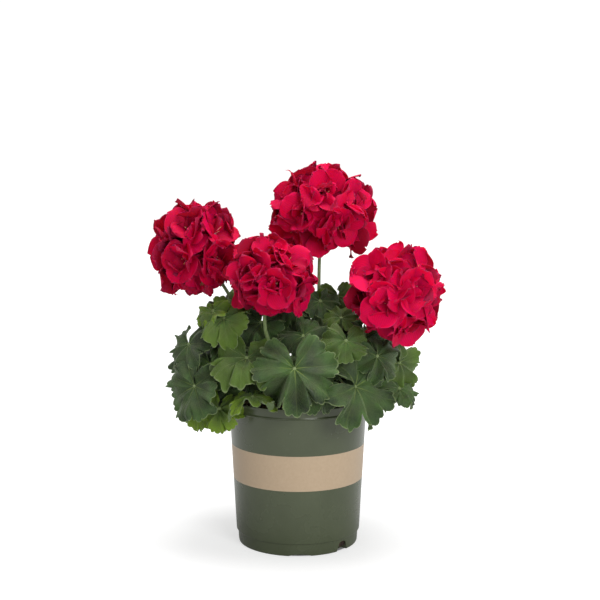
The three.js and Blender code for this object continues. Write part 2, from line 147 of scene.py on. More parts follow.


# White seamless paper that glows of itself, bright enough to clip. Its glow is painted lower near the pot
# as a soft painted shadow
paper, node, place = new_material("seamless_paper")
fibre = node("TexNoise", {"Scale": 220.0, "Detail": 3.0})
paper_grain = node("Bump", {"Strength": 0.02, "Height": fibre})
paper_rays = node("LightPath").outputs
far = node("VectorMath", [place], operation="LENGTH").outputs["Value"]
# Painted shadow: the glow that the camera sees is lower near the pot and rises to full further out, and
# the glow that lights the plant and shows in reflections is lower there too
paper_seen_with_painted_shadow = node("MapRange", [far, 0.08, 0.5, 0.62, 1.0], interpolation_type="SMOOTHSTEP")
paper_unseen = node("MapRange", [far, 0.1, 0.8, 0.12, 0.3])
paper_mirrored = node("MapRange", [far, 0.1, 0.5, 0.12, 0.5])
paper_lit = node("MapRange", [paper_rays["Is Glossy Ray"], 0, 1, paper_unseen, paper_mirrored])
paper_open = node("MapRange", [paper_rays["Is Camera Ray"], 0, 1, paper_lit, paper_seen_with_painted_shadow])
# Painted shade: under the pot the paper's glow is nearly off
painted_pot_shadow = node("MapRange", [far, 0.066, 0.0685, 0.04, 1.0])
paper_glow = node("Math", [paper_open, painted_pot_shadow], operation="MULTIPLY")
shader = node("BsdfPrincipled", {
    "Base Color": [0.5, 0.5, 0.5, 1],
    "Roughness": 0.9,
    "Specular IOR Level": 0.1,
    "Emission Color": "#ffffff",
    "Emission Strength": paper_glow,
    "Normal": paper_grain,
})
node("OutputMaterial", [shader])
floor_mesh = bpy.data.meshes.new("studio_floor")
FLOOR_HALF = 4
FLOOR_DROP = 0.0002
floor_mesh.from_pydata(
    [(x * FLOOR_HALF, y * FLOOR_HALF, -FLOOR_DROP) for x, y in ((-1, -1), (1, -1), (1, 1), (-1, 1))],
    [],
    [(0, 1, 2, 3)],
)
floor_mesh.materials.append(paper)
floor = add_object("studio_floor", floor_mesh)


# The pot: olive green polypropylene, injection moulded, with a rolled lip, a stepped foot,
# four shallow channels and two drain arches at the ground. The tan band is a printed foil
# that was pressed on while hot, and it is bare.

POT_HEIGHT = 176
POT_SEGMENTS = 192
WALL = 1.7
FOOT_HEIGHT = 14.5
BAND_FROM = 78.9
BAND_TO = 120.4
ARC_STEPS = 5
# A way through the foot: its width at the ground and at its top, height and inner radius
CHANNEL_SIZES = (28, 18, 2.7, 24)
CHANNEL_ANGLES = (2, 92, 182, 272)
ARCH_SIZES = (18, 12, 12, 62)
ARCH_ANGLES = (47, 227)


def wall_radius(z):
    """The radius of the pot's outer wall at a height."""
    return 72.9 + 0.0533 * z


def rounded(profile):
    """A profile of (radius, height, fillet) corners with each fillet drawn as an arc."""
    corners = [np.array(corner[:2], float) for corner in profile]
    points = []
    for i, (_, _, fillet) in enumerate(profile):
        if not fillet:
            points.append(corners[i])
            continue
        back = corners[i - 1] - corners[i]
        onward = corners[i + 1] - corners[i]
        back_length, onward_length = np.linalg.norm(back), np.linalg.norm(onward)
        reach = min(fillet, 0.45 * back_length, 0.45 * onward_length)
        start = corners[i] + back * reach / back_length
        end = corners[i] + onward * reach / onward_length
        for t in np.linspace(0, 1, ARC_STEPS):
            points.append((1 - t) ** 2 * start + 2 * t * (1 - t) * corners[i] + t * t * end)
    return np.array(points)


LEDGE = POT_HEIGHT - 12.5
LEDGE_RADIUS = wall_radius(LEDGE)
pot_profile = rounded(
    [
        (0, 0.9, 0),
        (20, 0.9, 0.5),
        (21, 0, 0.5),
        (48, 0, 0),
        (70.9, 0, 2.2),
        (71.2, 3.6, 0),
        (71.45, 7.2, 0),
        (71.62, 11, 0),
        (71.8, FOOT_HEIGHT, 0.5),
        (wall_radius(15.3), 15.3, 0.9),
        *[(wall_radius(z), z, 0) for z in (30, 55, BAND_FROM, 100, BAND_TO, 142)],
        (LEDGE_RADIUS, LEDGE - 0.3, 0.6),
        (LEDGE_RADIUS + 1.5, LEDGE + 0.3, 0.5),
        (LEDGE_RADIUS + 1.55, LEDGE + 1.1, 0.5),
        (LEDGE_RADIUS + 0.75, LEDGE + 2.6, 0.8),
        (83.5, POT_HEIGHT - 3, 0.8),
        (84.5, POT_HEIGHT - 1.6, 0.6),
        (84.6, POT_HEIGHT - 0.1, 0.9),
        (83.3, POT_HEIGHT, 0.7),
        (82.7, POT_HEIGHT - 1.2, 0.6),
        (LEDGE_RADIUS - WALL + 0.6, LEDGE + 1.5, 0.8),
        (wall_radius(LEDGE - 4) - WALL, LEDGE - 4, 1),
        (wall_radius(FOOT_HEIGHT) - WALL, FOOT_HEIGHT + 4, 1.5),
        (71.8 - WALL, FOOT_HEIGHT, 1.2),
        (70.9 - WALL, 4.6, 2.5),
        (0, 4.6, 0),
    ]
)


def ring_faces(count, sides):
    """Faces that join rings of points in a row and close both ends round one more point."""
    number = np.arange(count * sides).reshape(count, sides)
    following = np.roll(number, -1, axis=1)
    walls = np.stack([number[:-1], following[:-1], following[1:], number[1:]], axis=2)
    first = np.stack([np.full(sides, count * sides), following[0], number[0]], axis=1)
    last = np.stack([np.full(sides, count * sides + 1), number[-1], following[-1]], axis=1)
    return [walls.reshape(-1, 4), first, last]


def turned(profile, segments):
    """Points and faces of a profile turned round the pot's axis, from one pole to the other."""
    angles = np.arange(segments) * 2 * np.pi / segments
    rings = profile[1:-1]
    points = np.stack(
        [
            np.outer(rings[:, 0], np.sin(angles)),
            -np.outer(rings[:, 0], np.cos(angles)),
            np.repeat(rings[:, 1:2], segments, axis=1),
        ],
        axis=2,
    ).reshape(-1, 3)
    poles = [[0, 0, profile[0][1]], [0, 0, profile[-1][1]]]
    return np.concatenate([points, poles]), ring_faces(len(rings), segments)


def mesh_of(name, parts):
    """One mesh of several parts: each is its points in mm, its faces, and per-point values."""
    mesh = bpy.data.meshes.new(name)
    points = np.concatenate([part[0] for part in parts]) / 1000
    faces = []
    start = 0
    for part in parts:
        for block in part[1]:
            faces.extend((block + start).tolist())
        start += len(part[0])
    mesh.from_pydata(points.tolist(), [], faces)
    shared = set.intersection(*(set(part[2]) if len(part) > 2 else set() for part in parts))
    for key in sorted(shared):
        values = np.concatenate([part[2][key] for part in parts]).astype(np.float32)
        mesh.attributes.new(key, "FLOAT", "POINT").data.foreach_set("value", values)
    mesh.shade_smooth()
    return mesh


def place_piece(name, mesh, materials, slot_name, *nodes, sharp=40):
    """A piece that rides on the one body, takes its finish from the given materials and stands for nodes;
    its slot name is not used.
    """
    for material in materials:
        mesh.materials.append(material)
    if sharp:
        mesh.set_sharp_from_angle(angle=math.radians(sharp))
    piece = add_object(name, mesh)
    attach(piece, "root")
    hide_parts(*nodes)
    return piece


def place_parts(name, parts, material, slot_name, node_name, sharp=40):
    """A piece of one material that is made of parts."""
    return place_piece(name, mesh_of(name, parts), [material], slot_name, node_name, sharp=sharp)


def foot_opening(angle, ground_width, top_width, height, inner_radius):
    """The empty space of one way through the foot, as a closed arch that runs inwards."""
    outline = [(ground_width / 2, -1), (ground_width / 2, 0)]
    for turn in np.linspace(0, math.pi, 13):
        outline.append((top_width / 2 * math.cos(turn), height * (0.7 + 0.3 * math.sin(turn))))
    outline += [(-ground_width / 2, 0), (-ground_width / 2, -1)]
    count = len(outline)
    points = [(x, -inner_radius, z) for x, z in outline] + [(x, -90, z) for x, z in outline]
    faces = [tuple(range(count)), tuple(range(2 * count - 1, count - 1, -1))]
    for i in range(count):
        j = (i + 1) % count
        faces.append((j, i, i + count, j + count))
    mesh = bpy.data.meshes.new("foot_opening")
    c, s = math.cos(math.radians(angle)), math.sin(math.radians(angle))
    points = [((x * c - y * s) / 1000, (x * s + y * c) / 1000, z / 1000) for x, y, z in points]
    mesh.from_pydata(points, [], faces)
    whole = bmesh.new()
    whole.from_mesh(mesh)
    bmesh.ops.recalc_face_normals(whole, faces=whole.faces)
    whole.to_mesh(mesh)
    whole.free()
    return mesh


pot_mesh = mesh_of("nursery_pot", [turned(pot_profile, POT_SEGMENTS)])
moulding = add_object("moulding", pot_mesh)
openings = [foot_opening(angle, *CHANNEL_SIZES) for angle in CHANNEL_ANGLES]
openings += [foot_opening(angle, *ARCH_SIZES) for angle in ARCH_ANGLES]
cutters = []
for opening in openings:
    cut = moulding.modifiers.new("foot_opening", "BOOLEAN")
    cut.object = add_object("foot_opening", opening)
    cutters.append(cut.object)
    cut.solver = "EXACT"
pot_mesh = bpy.data.meshes.new_from_object(
    moulding.evaluated_get(bpy.context.evaluated_depsgraph_get())
)
pot_mesh.name = "nursery_pot"
for spare in [moulding, *cutters]:
    bpy.data.objects.remove(spare)
# The foil goes by height alone, so the inner side of the wall has it too, behind the mix
for face in pot_mesh.polygons:
    face.material_index = 1 if BAND_FROM < face.center.z * 1000 < BAND_TO else 0

# Moulded polypropylene: a satin skin that gives broad soft highlights, a fine spark-eroded
# grain from the mould, and faint flow marks. The grain is drawn at 1.4 mm, coarser than the
# real 0.3 mm, so that it shows.
polypropylene, node, place = new_material("moulded_polypropylene")
flow = node("TexNoise", {"Vector": place, "Scale": 22.0, "Detail": 4.0})
dust = node("TexNoise", {"Vector": place, "Scale": 160.0, "Detail": 6.0, "Roughness": 0.7})
flow_share = node("MapRange", [flow, 0.3, 0.7])
green = node("Mix", [flow_share, "#495139", "#515941"])
dust_share = node("MapRange", [dust, 0.56, 0.8, 0, 0.1])
dusty = node("Mix", [dust_share, green, "#7c7f6e"])
sheen_spread = node("MapRange", [flow, 0.3, 0.7, 0.22, 0.31])
grain = node("TexNoise", {"Vector": place, "Scale": 720.0, "Detail": 2.0})
moulded = node("Bump", {"Strength": 0.06, "Distance": 0.0003, "Height": grain})
flow_bump = node("Bump", {"Strength": 0.12, "Distance": 0.002, "Height": flow, "Normal": moulded})
shader = node("BsdfPrincipled", {
    "Base Color": dusty, "Roughness": sheen_spread, "IOR": 1.49, "Normal": flow_bump,
})
node("OutputMaterial", [shader])

# Printed foil: a flat kraft tan with a faint mottle where the ink lies on the grain, a
# little glossier than the pot
foil, node, place = new_material("printed_tan_foil")
mottle = node("TexNoise", {"Vector": place, "Scale": 260.0, "Detail": 5.0, "Roughness": 0.65})
mottle_share = node("MapRange", [mottle, 0.3, 0.7])
tan = node("Mix", [mottle_share, "#bfa78a", "#c6af92"])
ink_grain = node("Bump", {"Strength": 0.1, "Distance": 0.0002, "Height": mottle})
ink_gloss = node("MapRange", [mottle, 0.3, 0.7, 0.38, 0.5])
shader = node("BsdfPrincipled", {
    "Base Color": tan, "Roughness": ink_gloss, "IOR": 1.5, "Normal": ink_grain,
})
node("OutputMaterial", [shader])
place_piece("nursery_pot", pot_mesh, [polypropylene, foil], "pot_plastic", "pot")


# The potting mix: composted bark and peat with grains of perlite, filled in loose and firmed
# by hand round the young plants, so that it lies a little higher in the middle.

MIX_RIM_HEIGHT = 157
MIX_MOUND = 5
MIX_SEGMENTS = 120
BARK_CHIPS = 340
PERLITE_GRAINS = 150


def draw_from(seed):
    """A seeded row of numbers, the same each time."""
    state = seed

    def draw(low, high):
        nonlocal state
        state = state * 16807 % 2147483647
        return low + (high - low) * state / 2147483647

    return draw


def mix_height(x, y):
    """The height of the mix's crumbly top at a place."""
    out = math.hypot(x, y) / 79
    crumb = noise.fractal(Vector((x, y, 0)) / 7, 1.0, 2.1, 4)
    hollow = noise.noise(Vector((x, y, 40)) / 24)
    return MIX_RIM_HEIGHT - 1.5 + MIX_MOUND * (1 - out * out) + 1.3 * crumb + 1.2 * hollow


mix_inner = wall_radius(MIX_RIM_HEIGHT) - WALL - 0.6
mix_profile = [(0, 4.9), (68.6, 4.9), (69.5, FOOT_HEIGHT), (wall_radius(18.5) - WALL - 0.6, 18.5)]
mix_profile += [(mix_inner, MIX_RIM_HEIGHT - 2)]
mix_profile += [(mix_inner * share, MIX_RIM_HEIGHT) for share in np.linspace(0.985, 0.02, 44)]
mix_profile += [(0, MIX_RIM_HEIGHT + MIX_MOUND)]
mix_points, mix_faces = turned(np.array(mix_profile), MIX_SEGMENTS)
for point in mix_points:
    if point[2] > MIX_RIM_HEIGHT - 1:
        point[2] = mix_height(point[0], point[1])

pebble = bmesh.new()
bmesh.ops.create_icosphere(pebble, subdivisions=1, radius=1)
PEBBLE_POINTS = np.array([corner.co for corner in pebble.verts])
PEBBLE_FACES = np.array([[corner.index for corner in face.verts] for face in pebble.faces])
pebble.free()


def scattered_bits(count, seed, lengths, flatness, jitter):
    """Angular bits that lie half sunk in the top of the mix."""
    draw = draw_from(seed)
    bits = []
    for _ in range(count):
        radius, round_ = 76 * math.sqrt(draw(0, 1)), draw(0, 2 * math.pi)
        x, y = radius * math.cos(round_), radius * math.sin(round_)
        length = draw(*lengths)
        sizes = np.array([length, length * draw(0.35, 0.7), length * flatness * draw(0.7, 1.3)]) / 2
        wobble = np.array([[draw(1 - jitter, 1 + jitter)] for _ in PEBBLE_POINTS])
        bit = PEBBLE_POINTS * sizes * wobble
        turn, lean = draw(0, 2 * math.pi), draw(-0.5, 0.5)
        c, s, cl, sl = math.cos(turn), math.sin(turn), math.cos(lean), math.sin(lean)
        bit = bit @ np.array([[cl, 0, -sl], [0, 1, 0], [sl, 0, cl]])
        bit = bit @ np.array([[c, s, 0], [-s, c, 0], [0, 0, 1]])
        bit += [x, y, mix_height(x, y) + sizes[2] * 0.3]
        bits.append((bit, [PEBBLE_FACES], {"bit_tone": np.full(len(bit), draw(0, 1))}))
    return bits


# Peat and fine bark: matt, near black where damp, with lighter brown fibres
peat, node, place = new_material("damp_peat")
crumbs = node("TexVoronoi", {"Vector": place, "Scale": 420.0})
fibres = node("TexNoise", {"Vector": place, "Scale": 300.0, "Detail": 8.0, "Distortion": 1.5})
fibre_share = node("MapRange", [fibres, 0.42, 0.68])
brown = node("Mix", [fibre_share, "#1b130e", "#4a3626"])
crumb_bump = node(
    "Bump", {"Strength": 0.9, "Distance": 0.0012, "Height": crumbs.outputs["Distance"]}
)
fibre_bump = node(
    "Bump", {"Strength": 0.6, "Distance": 0.0006, "Height": fibres, "Normal": crumb_bump}
)
shader = node("BsdfPrincipled", {"Base Color": brown, "Roughness": 0.95, "Normal": fibre_bump})
node("OutputMaterial", [shader])

# Pine bark: chips of reddish and grey brown with a layered grain along them
bark, node, place = new_material("composted_pine_bark")
tone = node("Attribute", attribute_name="bit_tone").outputs["Fac"]
layers = node("TexNoise", {"Vector": place, "Scale": 500.0, "Detail": 4.0, "Distortion": 2.0})
chip = node("Mix", [tone, "#2e1f15", "#5d4229"])
layer_share = node("MapRange", [layers, 0.5, 0.7, 0, 0.6])
chipped = node("Mix", [layer_share, chip, "#17100b"])
bark_bump = node("Bump", {"Strength": 0.8, "Distance": 0.0005, "Height": layers})
shader = node("BsdfPrincipled", {"Base Color": chipped, "Roughness": 0.88, "Normal": bark_bump})
node("OutputMaterial", [shader])

# Perlite: popped volcanic glass, chalky white and full of small pits, painted greyer in each pit as
# painted shade
perlite, node, place = new_material("expanded_perlite")
pits = node("TexVoronoi", {"Vector": place, "Scale": 1400.0})
# Painted shade: greyer towards the hollow of each pit
painted_pit_shade = node("MapRange", [pits.outputs["Distance"], 0, 0.5])
white = node("Mix", [painted_pit_shade, "#a89e90", "#e6e0d4"])
pit_bump = node("Bump", {"Strength": 0.7, "Distance": 0.0003, "Height": pits.outputs["Distance"]})
shader = node("BsdfPrincipled", {"Base Color": white, "Roughness": 0.9, "Normal": pit_bump})
node("OutputMaterial", [shader])

place_parts("potting_mix_body", [(mix_points, mix_faces)], peat, "potting_mix", "potting_mix")
chips = scattered_bits(BARK_CHIPS, 11, (3, 11), 0.3, 0.28)
place_parts("bark_chips", chips, bark, "potting_mix", "potting_mix", sharp=25)
grains = scattered_bits(PERLITE_GRAINS, 12, (1.8, 4.2), 0.9, 0.2)
place_parts("perlite_grains", grains, perlite, "potting_mix", "potting_mix", sharp=60)


# The stems and petioles: each shoot is a fleshy stem, woody and brown at its foot and green
# above, knobbly where leaves have been. Petioles as thin as a knitting needle leave it upwards
# and meet their leaves from behind. The routes are those of the CAD solids.

HOLE_DEPTH = 26
STEM_RADIUS = 4.6
PETIOLE_RADIUS = 1.5
CAP_SHARE = 0.4
SCALE_THICKNESS = 0.3
HAIR_RADIUS = 0.06
HAIR_LENGTH = 1.0
HAIR_DEPTH = 0.15
STEM_HAIRS = 160
PETIOLE_HAIRS_PER_MM = 1.8


def unit(vectors):
    """A vector, or each of a row of vectors, made one long."""
    return vectors / np.linalg.norm(vectors, axis=-1, keepdims=True)


def crosswise(axis):
    """Two directions square to an axis and to each other."""
    guide = np.array([1.0, 0, 0]) if abs(axis[2]) > 0.9 else np.array([0, 0, 1.0])
    first = unit(np.cross(guide, axis))
    return first, np.cross(axis, first)


def bezier(points, t):
    """A point, or a row of points, on the Bezier curve of a few control points."""
    t = np.asarray(t, float)[..., None]
    while len(points) > 1:
        points = [(1 - t) * a + t * b for a, b in zip(points, points[1:])]
    return points[0]


def closed_tube(path, radii, sides, **values):
    """A tube along a path with a radius at each of its points and a rounded cap at each end."""
    tangents = unit(np.gradient(path, axis=0))
    side = -crosswise(tangents[0])[0]
    angles = np.arange(sides) * 2 * np.pi / sides
    rings = []
    for place, tangent, radius in zip(path, tangents, radii):
        side = unit(side - tangent * np.dot(side, tangent))
        other = np.cross(tangent, side)
        ring = np.outer(np.cos(angles), side) + np.outer(np.sin(angles), other)
        rings.append(place + radius * ring)
    count = len(path)
    points = np.concatenate(rings)
    foot = path[0] - tangents[0] * radii[0] * CAP_SHARE
    tip = path[-1] + tangents[-1] * radii[-1] * CAP_SHARE
    spread = {}
    for key, row in values.items():
        row = np.broadcast_to(row, count)
        spread[key] = np.concatenate([np.repeat(row, sides), [row[0], row[-1]]])
    return np.concatenate([points, [foot, tip]]), ring_faces(count, sides), spread


def closed_blade(grid, thickness, **values):
    """Both faces of a thin blade round a grid of points, with the rim that joins them."""
    rows, columns = grid.shape[:2]
    normal = np.cross(np.gradient(grid, axis=1), np.gradient(grid, axis=0))
    normal /= np.linalg.norm(normal, axis=2, keepdims=True) + 1e-12
    upper = (grid + normal * thickness / 2).reshape(-1, 3)
    lower = (grid - normal * thickness / 2).reshape(-1, 3)
    count = rows * columns
    number = np.arange(count).reshape(rows, columns)
    a, b, c, d = number[:-1, :-1], number[:-1, 1:], number[1:, 1:], number[1:, :-1]
    top = np.stack([a, b, c, d], axis=2).reshape(-1, 4)
    bottom = np.stack([a, d, c, b], axis=2).reshape(-1, 4) + count
    loop = np.concatenate([number[0, :-1], number[:-1, -1], number[-1, :0:-1], number[:0:-1, 0]])
    onward = np.roll(loop, -1)
    rim = np.stack([onward, loop, loop + count, onward + count], axis=1)
    spread = {}
    for key, value in values.items():
        spread[key] = np.tile(np.broadcast_to(value, (rows, columns)).ravel(), 2)
    spread["upper_side"] = np.repeat([1.0, 0.0], count)
    return np.concatenate([upper, lower]), [top, bottom, rim], spread


def round_axis(directions, degrees):
    """The way out from an axis at an angle round it, and the way across that."""
    _, first, second = directions
    turn = math.radians(degrees)
    outward = first * math.cos(turn) + second * math.sin(turn)
    return outward, second * math.cos(turn) - first * math.sin(turn)


def pointed_scale(root, directions, round_, bend, length, width, age, ageing):
    """A small pointed green blade, such as a stipule, a bract or a sepal, troughed a little."""
    axis = directions[0]
    radial, sideways = round_axis(directions, round_)
    s = np.linspace(0, 1, 6)[:, None]
    u = np.linspace(1, -1, 3)[None, :]
    tilt = np.radians(bend[0] + (bend[1] - bend[0]) * s)
    reach = length * s * (radial * np.sin(tilt) + axis * np.cos(tilt))
    half = width / 2 * np.sqrt(s + 0.1) * (1.02 - s**2)
    trough = half * u**2 / 4
    grid = root + reach[:, None, :] + sideways * (u * half)[..., None]
    grid += (radial - axis) * trough[..., None]
    return closed_blade(grid, SCALE_THICKNESS, green_age=age + ageing * s + 0 * u)


def hair_part(path, radii, count, draw):
    """Hairs that stand out all round a stem, each a closed spike with its foot in the skin."""
    drawn = np.array([[draw(0, 1) for _ in range(4)] for _ in range(count)])
    along = drawn[:, 0] * (len(path) - 1.001)
    i = along.astype(int)
    part = (along - i)[:, None]
    tangent = unit(np.diff(path, axis=0)[i])
    side = unit(np.cross(tangent, [0.8, 0.6, 0.1]))
    turn = 2 * np.pi * drawn[:, 1:2]
    out = np.cos(turn) * side + np.sin(turn) * np.cross(tangent, side)
    around = np.cross(tangent, out)
    foot = path[i] * (1 - part) + path[i + 1] * part + out * (radii[i][:, None] - HAIR_DEPTH)
    corners = []
    for angle in (0, 2 * math.pi / 3, 4 * math.pi / 3):
        corners.append(foot + HAIR_RADIUS * (math.cos(angle) * around + math.sin(angle) * tangent))
    length = HAIR_LENGTH * (0.6 + 0.8 * drawn[:, 2:3])
    corners.append(foot + length * (out + 0.6 * (drawn[:, 3:4] - 0.5) * tangent))
    first = 4 * np.arange(count)[:, None]
    faces = [first + face for face in ([0, 2, 1], [0, 1, 3], [1, 2, 3], [2, 0, 3])]
    return np.stack(corners, axis=1).reshape(-1, 3), faces


def leaf_at(at, faces, spin, size, start, **habit):
    """A leaf: where its petiole ends, the way it faces (turn and lift), its spin and its size."""
    leaf = {"at": np.array(at, float), "faces": faces, "spin": spin, "size": size, "start": start}
    leaf |= {"fold": 0, "hem": 0, "tucked": None, "lobing": 0.24, "curl": 0.75, "droop": 0.25}
    # A leaf's tone paints it a darker or lighter green, partly as painted light and shade
    leaf |= {"waviness": 1, "young": 0, "tone": 0.5}
    return {**leaf, **habit}


def shoot_at(foot, tip, *leaves):
    """A shoot: where its stem leaves the mix, where it ends, and its leaves."""
    return {"foot": foot, "tip": tip, "leaves": leaves}


# The last leaves of each shoot are small shaded ones inside the plant, which the outer ones nearly hide
# and the CAD solids leave out. Most have a low tone, which paints them darker as painted shade
SHOOTS = {
    "left": shoot_at(
        (-24, -10), (-56, -14, 236),
        leaf_at((-118, -62, 199), (-38, 14), -10, 43, 0.62),
        leaf_at((-126, -36, 243), (-50, 26), 10, 35, 0.75, lobing=0.16, tone=0.3, curl=0.2, waviness=0.2),
        leaf_at((-124, 14, 230), (-70, 52), 0, 40, 0.65, curl=0.4),
        leaf_at((-85, -48, 275), (-22, 50), -20, 36, 0.95, hem=0.3, young=0.4, droop=0.1),
        leaf_at((-84, 0, 286), (-75, 56), 0, 32, 0.97),
        leaf_at((-100, -50, 222), (-26, 32), 20, 35, 0.6, tone=0.35),
        leaf_at((-110, -42, 168), (-34, 22), 25, 28, 0.55, young=0.9),
        leaf_at((-90, -58, 172), (-18, 16), -5, 29, 0.5, young=0.8),
        leaf_at((-98, -36, 282), (-40, 46), 20, 25, 0.97, young=0.8),
        # Inside the plant
        leaf_at((-110, -8, 230), (-60, 30), 0, 28, 0.8, tone=0.1),
        leaf_at((-112, -34, 208), (-45, 20), 20, 25, 0.7, tone=0.1),
        leaf_at((-84, -44, 188), (-25, 25), -10, 26, 0.6, tone=0.1),
        leaf_at((-69, 8, 267), (-20, 50), 0, 28, 0.97, tone=0.1),
        leaf_at((-70, -28, 290), (-10, 56), -30, 25, 0.97, young=0.5),
    ),
    "front": shoot_at(
        (-4, -26), (-26, -42, 232),
        leaf_at((-4, -104, 227), (4, 28), 3, 52, 0.7, lobing=0.31, tucked=1, tone=0.7),
        leaf_at((-58, -76, 234), (-12, 62), 4, 46, 0.75, hem=0.3, young=0.3, droop=0.1),
        leaf_at((6, -58, 256), (2, 48), 40, 34, 0.9, tone=0.2),
        leaf_at((-43, -30, 268), (-8, 38), -30, 32, 0.97, tone=0.1),
        leaf_at((-51, -86, 191), (0, 80), 0, 30, 0.5, fold=-0.5, young=0.9, droop=0),
        leaf_at((22, -84, 202), (10, 30), -20, 30, 0.5),
        # Inside the plant
        leaf_at((-50, -38, 204), (-10, 40), 10, 27, 0.7, tone=0.1),
        leaf_at((-33, -18, 246), (-10, 50), -20, 26, 0.95, tone=0.1),
        leaf_at((-14, -20, 266), (5, 50), 30, 24, 0.97, tone=0.1),
    ),
    "right": shoot_at(
        (22, -14), (62, -26, 238),
        leaf_at((64, -86, 203), (44, 24), 60, 53, 0.6, lobing=0.31, tone=0.7),
        leaf_at((119, -16, 218), (42, 24), 10, 34, 0.7, young=0.3, tone=0.8),
        leaf_at((90, -64, 234), (35, 30), 20, 32, 0.8),
        leaf_at((54, -78, 254), (14, 34), -10, 29, 0.9, lobing=0.31, young=0.2),
        leaf_at((106, -12, 246), (70, 48), 0, 30, 0.95, young=0.2),
        leaf_at((34, -50, 230), (10, 30), -15, 30, 0.7, tone=0.2),
        leaf_at((118, -32, 190), (40, 48), -20, 27, 0.6, tone=1, curl=0.3, waviness=0.4),
        leaf_at((50, -38, 274), (6, 50), 170, 22, 0.97, lobing=0.31, young=0.3),
        # Inside the plant
        leaf_at((46, -46, 204), (20, 30), 0, 28, 0.7, tone=0.1),
        leaf_at((78, -22, 250), (30, 45), 0, 26, 0.95, tone=0.2),
        leaf_at((92, -32, 192), (30, 30), 20, 28, 0.7, tone=0.1),
        leaf_at((55, -12, 268), (20, 45), -20, 24, 0.97, tone=0.2),
    ),
    "rear_right": shoot_at(
        (12, 14), (30, 20, 256),
        leaf_at((110, 42, 226), (105, 30), 0, 42, 0.65),
        leaf_at((74, 92, 224), (145, 30), 0, 42, 0.6),
        leaf_at((20, 110, 224), (172, 26), 0, 41, 0.6),
        leaf_at((36, 70, 280), (160, 55), 0, 36, 0.95),
        leaf_at((86, 36, 274), (110, 52), 0, 34, 0.9),
        leaf_at((100, 66, 186), (125, 24), 0, 34, 0.5),
        leaf_at((47, 6, 293), (14, 32), 0, 29, 0.97, young=0.5, tone=1),
        leaf_at((26, -12, 290), (8, 45), 0, 26, 0.95),
        # Inside the plant
        leaf_at((104, -6, 202), (70, 20), 0, 28, 0.6, tone=0.1),
        leaf_at((60, 50, 230), (150, 30), 0, 30, 0.8, tone=0.2),
        leaf_at((16, 60, 256), (175, 40), 0, 28, 0.9, tone=0.2),
    ),
    "rear_left": shoot_at(
        (-14, 16), (-34, 40, 240),
        leaf_at((-92, 76, 220), (-132, 24), 0, 40, 0.65),
        leaf_at((-52, 108, 228), (-158, 28), 0, 40, 0.65),
        leaf_at((-66, 58, 276), (-130, 50), 0, 35, 0.95),
        leaf_at((-88, 92, 184), (-140, 20), 0, 34, 0.5, young=0.6),
        leaf_at((-18, 104, 190), (-172, 24), 0, 32, 0.5),
        leaf_at((-20, 56, 290), (175, 60), 0, 32, 0.97),
        leaf_at((-42, 16, 294), (-70, 68), 0, 30, 0.97),
        leaf_at((-10, -14, 280), (-5, 50), 30, 24, 0.97, tone=0.2),
        # Inside the plant
        leaf_at((-70, 30, 240), (-80, 40), 0, 30, 0.9, tone=0.1),
        leaf_at((-40, 70, 230), (-150, 30), 0, 30, 0.8, tone=0.2),
    ),
}
for i, (name, shoot) in enumerate(SHOOTS.items()):
    shoot["node"] = f"leafy_shoot_{name}"
    for j, leaf in enumerate(shoot["leaves"]):
        leaf["seed"] = 101 + 40 * i + 7 * j


def stem_controls(shoot):
    """The control points of a shoot's stem, from the foot of its hole in the mix to its tip."""
    x, y = shoot["foot"]
    tip = np.array(shoot["tip"], float)
    foot = np.array([x, y, MIX_RIM_HEIGHT - HOLE_DEPTH], float)
    return [foot, np.array([1.15 * x, 1.15 * y, (MIX_RIM_HEIGHT + tip[2]) / 2]), tip]


def leaf_axes(leaf):
    """The blade's directions: out of its upper face, down its middle lobe, and across it."""
    turn, lift = np.radians(leaf["faces"])
    spin = math.radians(leaf["spin"])
    level = np.array([math.sin(turn), -math.cos(turn), 0])
    upright = np.array([0, 0, 1.0])
    face = math.cos(lift) * level + math.sin(lift) * upright
    downhill = math.sin(lift) * level - math.cos(lift) * upright
    along = downhill * math.cos(spin) + np.cross(face, downhill) * math.sin(spin)
    return face, along, np.cross(along, face)


def stem_parts(shoot):
    """A shoot's stem, a little thicker at each leaf and thinner towards its tip, and hairs."""
    t = np.linspace(0, 1, 90)
    swelling = sum(np.exp(-(((t - leaf["start"]) / 0.012) ** 2)) for leaf in shoot["leaves"])
    radii = STEM_RADIUS * (1 - 0.24 * t**2) * (0.9 + 0.1 * np.minimum(swelling, 1.4))
    radii[-3:] *= [0.94, 0.8, 0.5]
    path = bezier(stem_controls(shoot), t)
    hairs = hair_part(path[40:], radii[40:], STEM_HAIRS, draw_from(shoot["leaves"][0]["seed"]))
    return [closed_tube(path, radii, 20, green_age=1.15 - 1.3 * t)], hairs


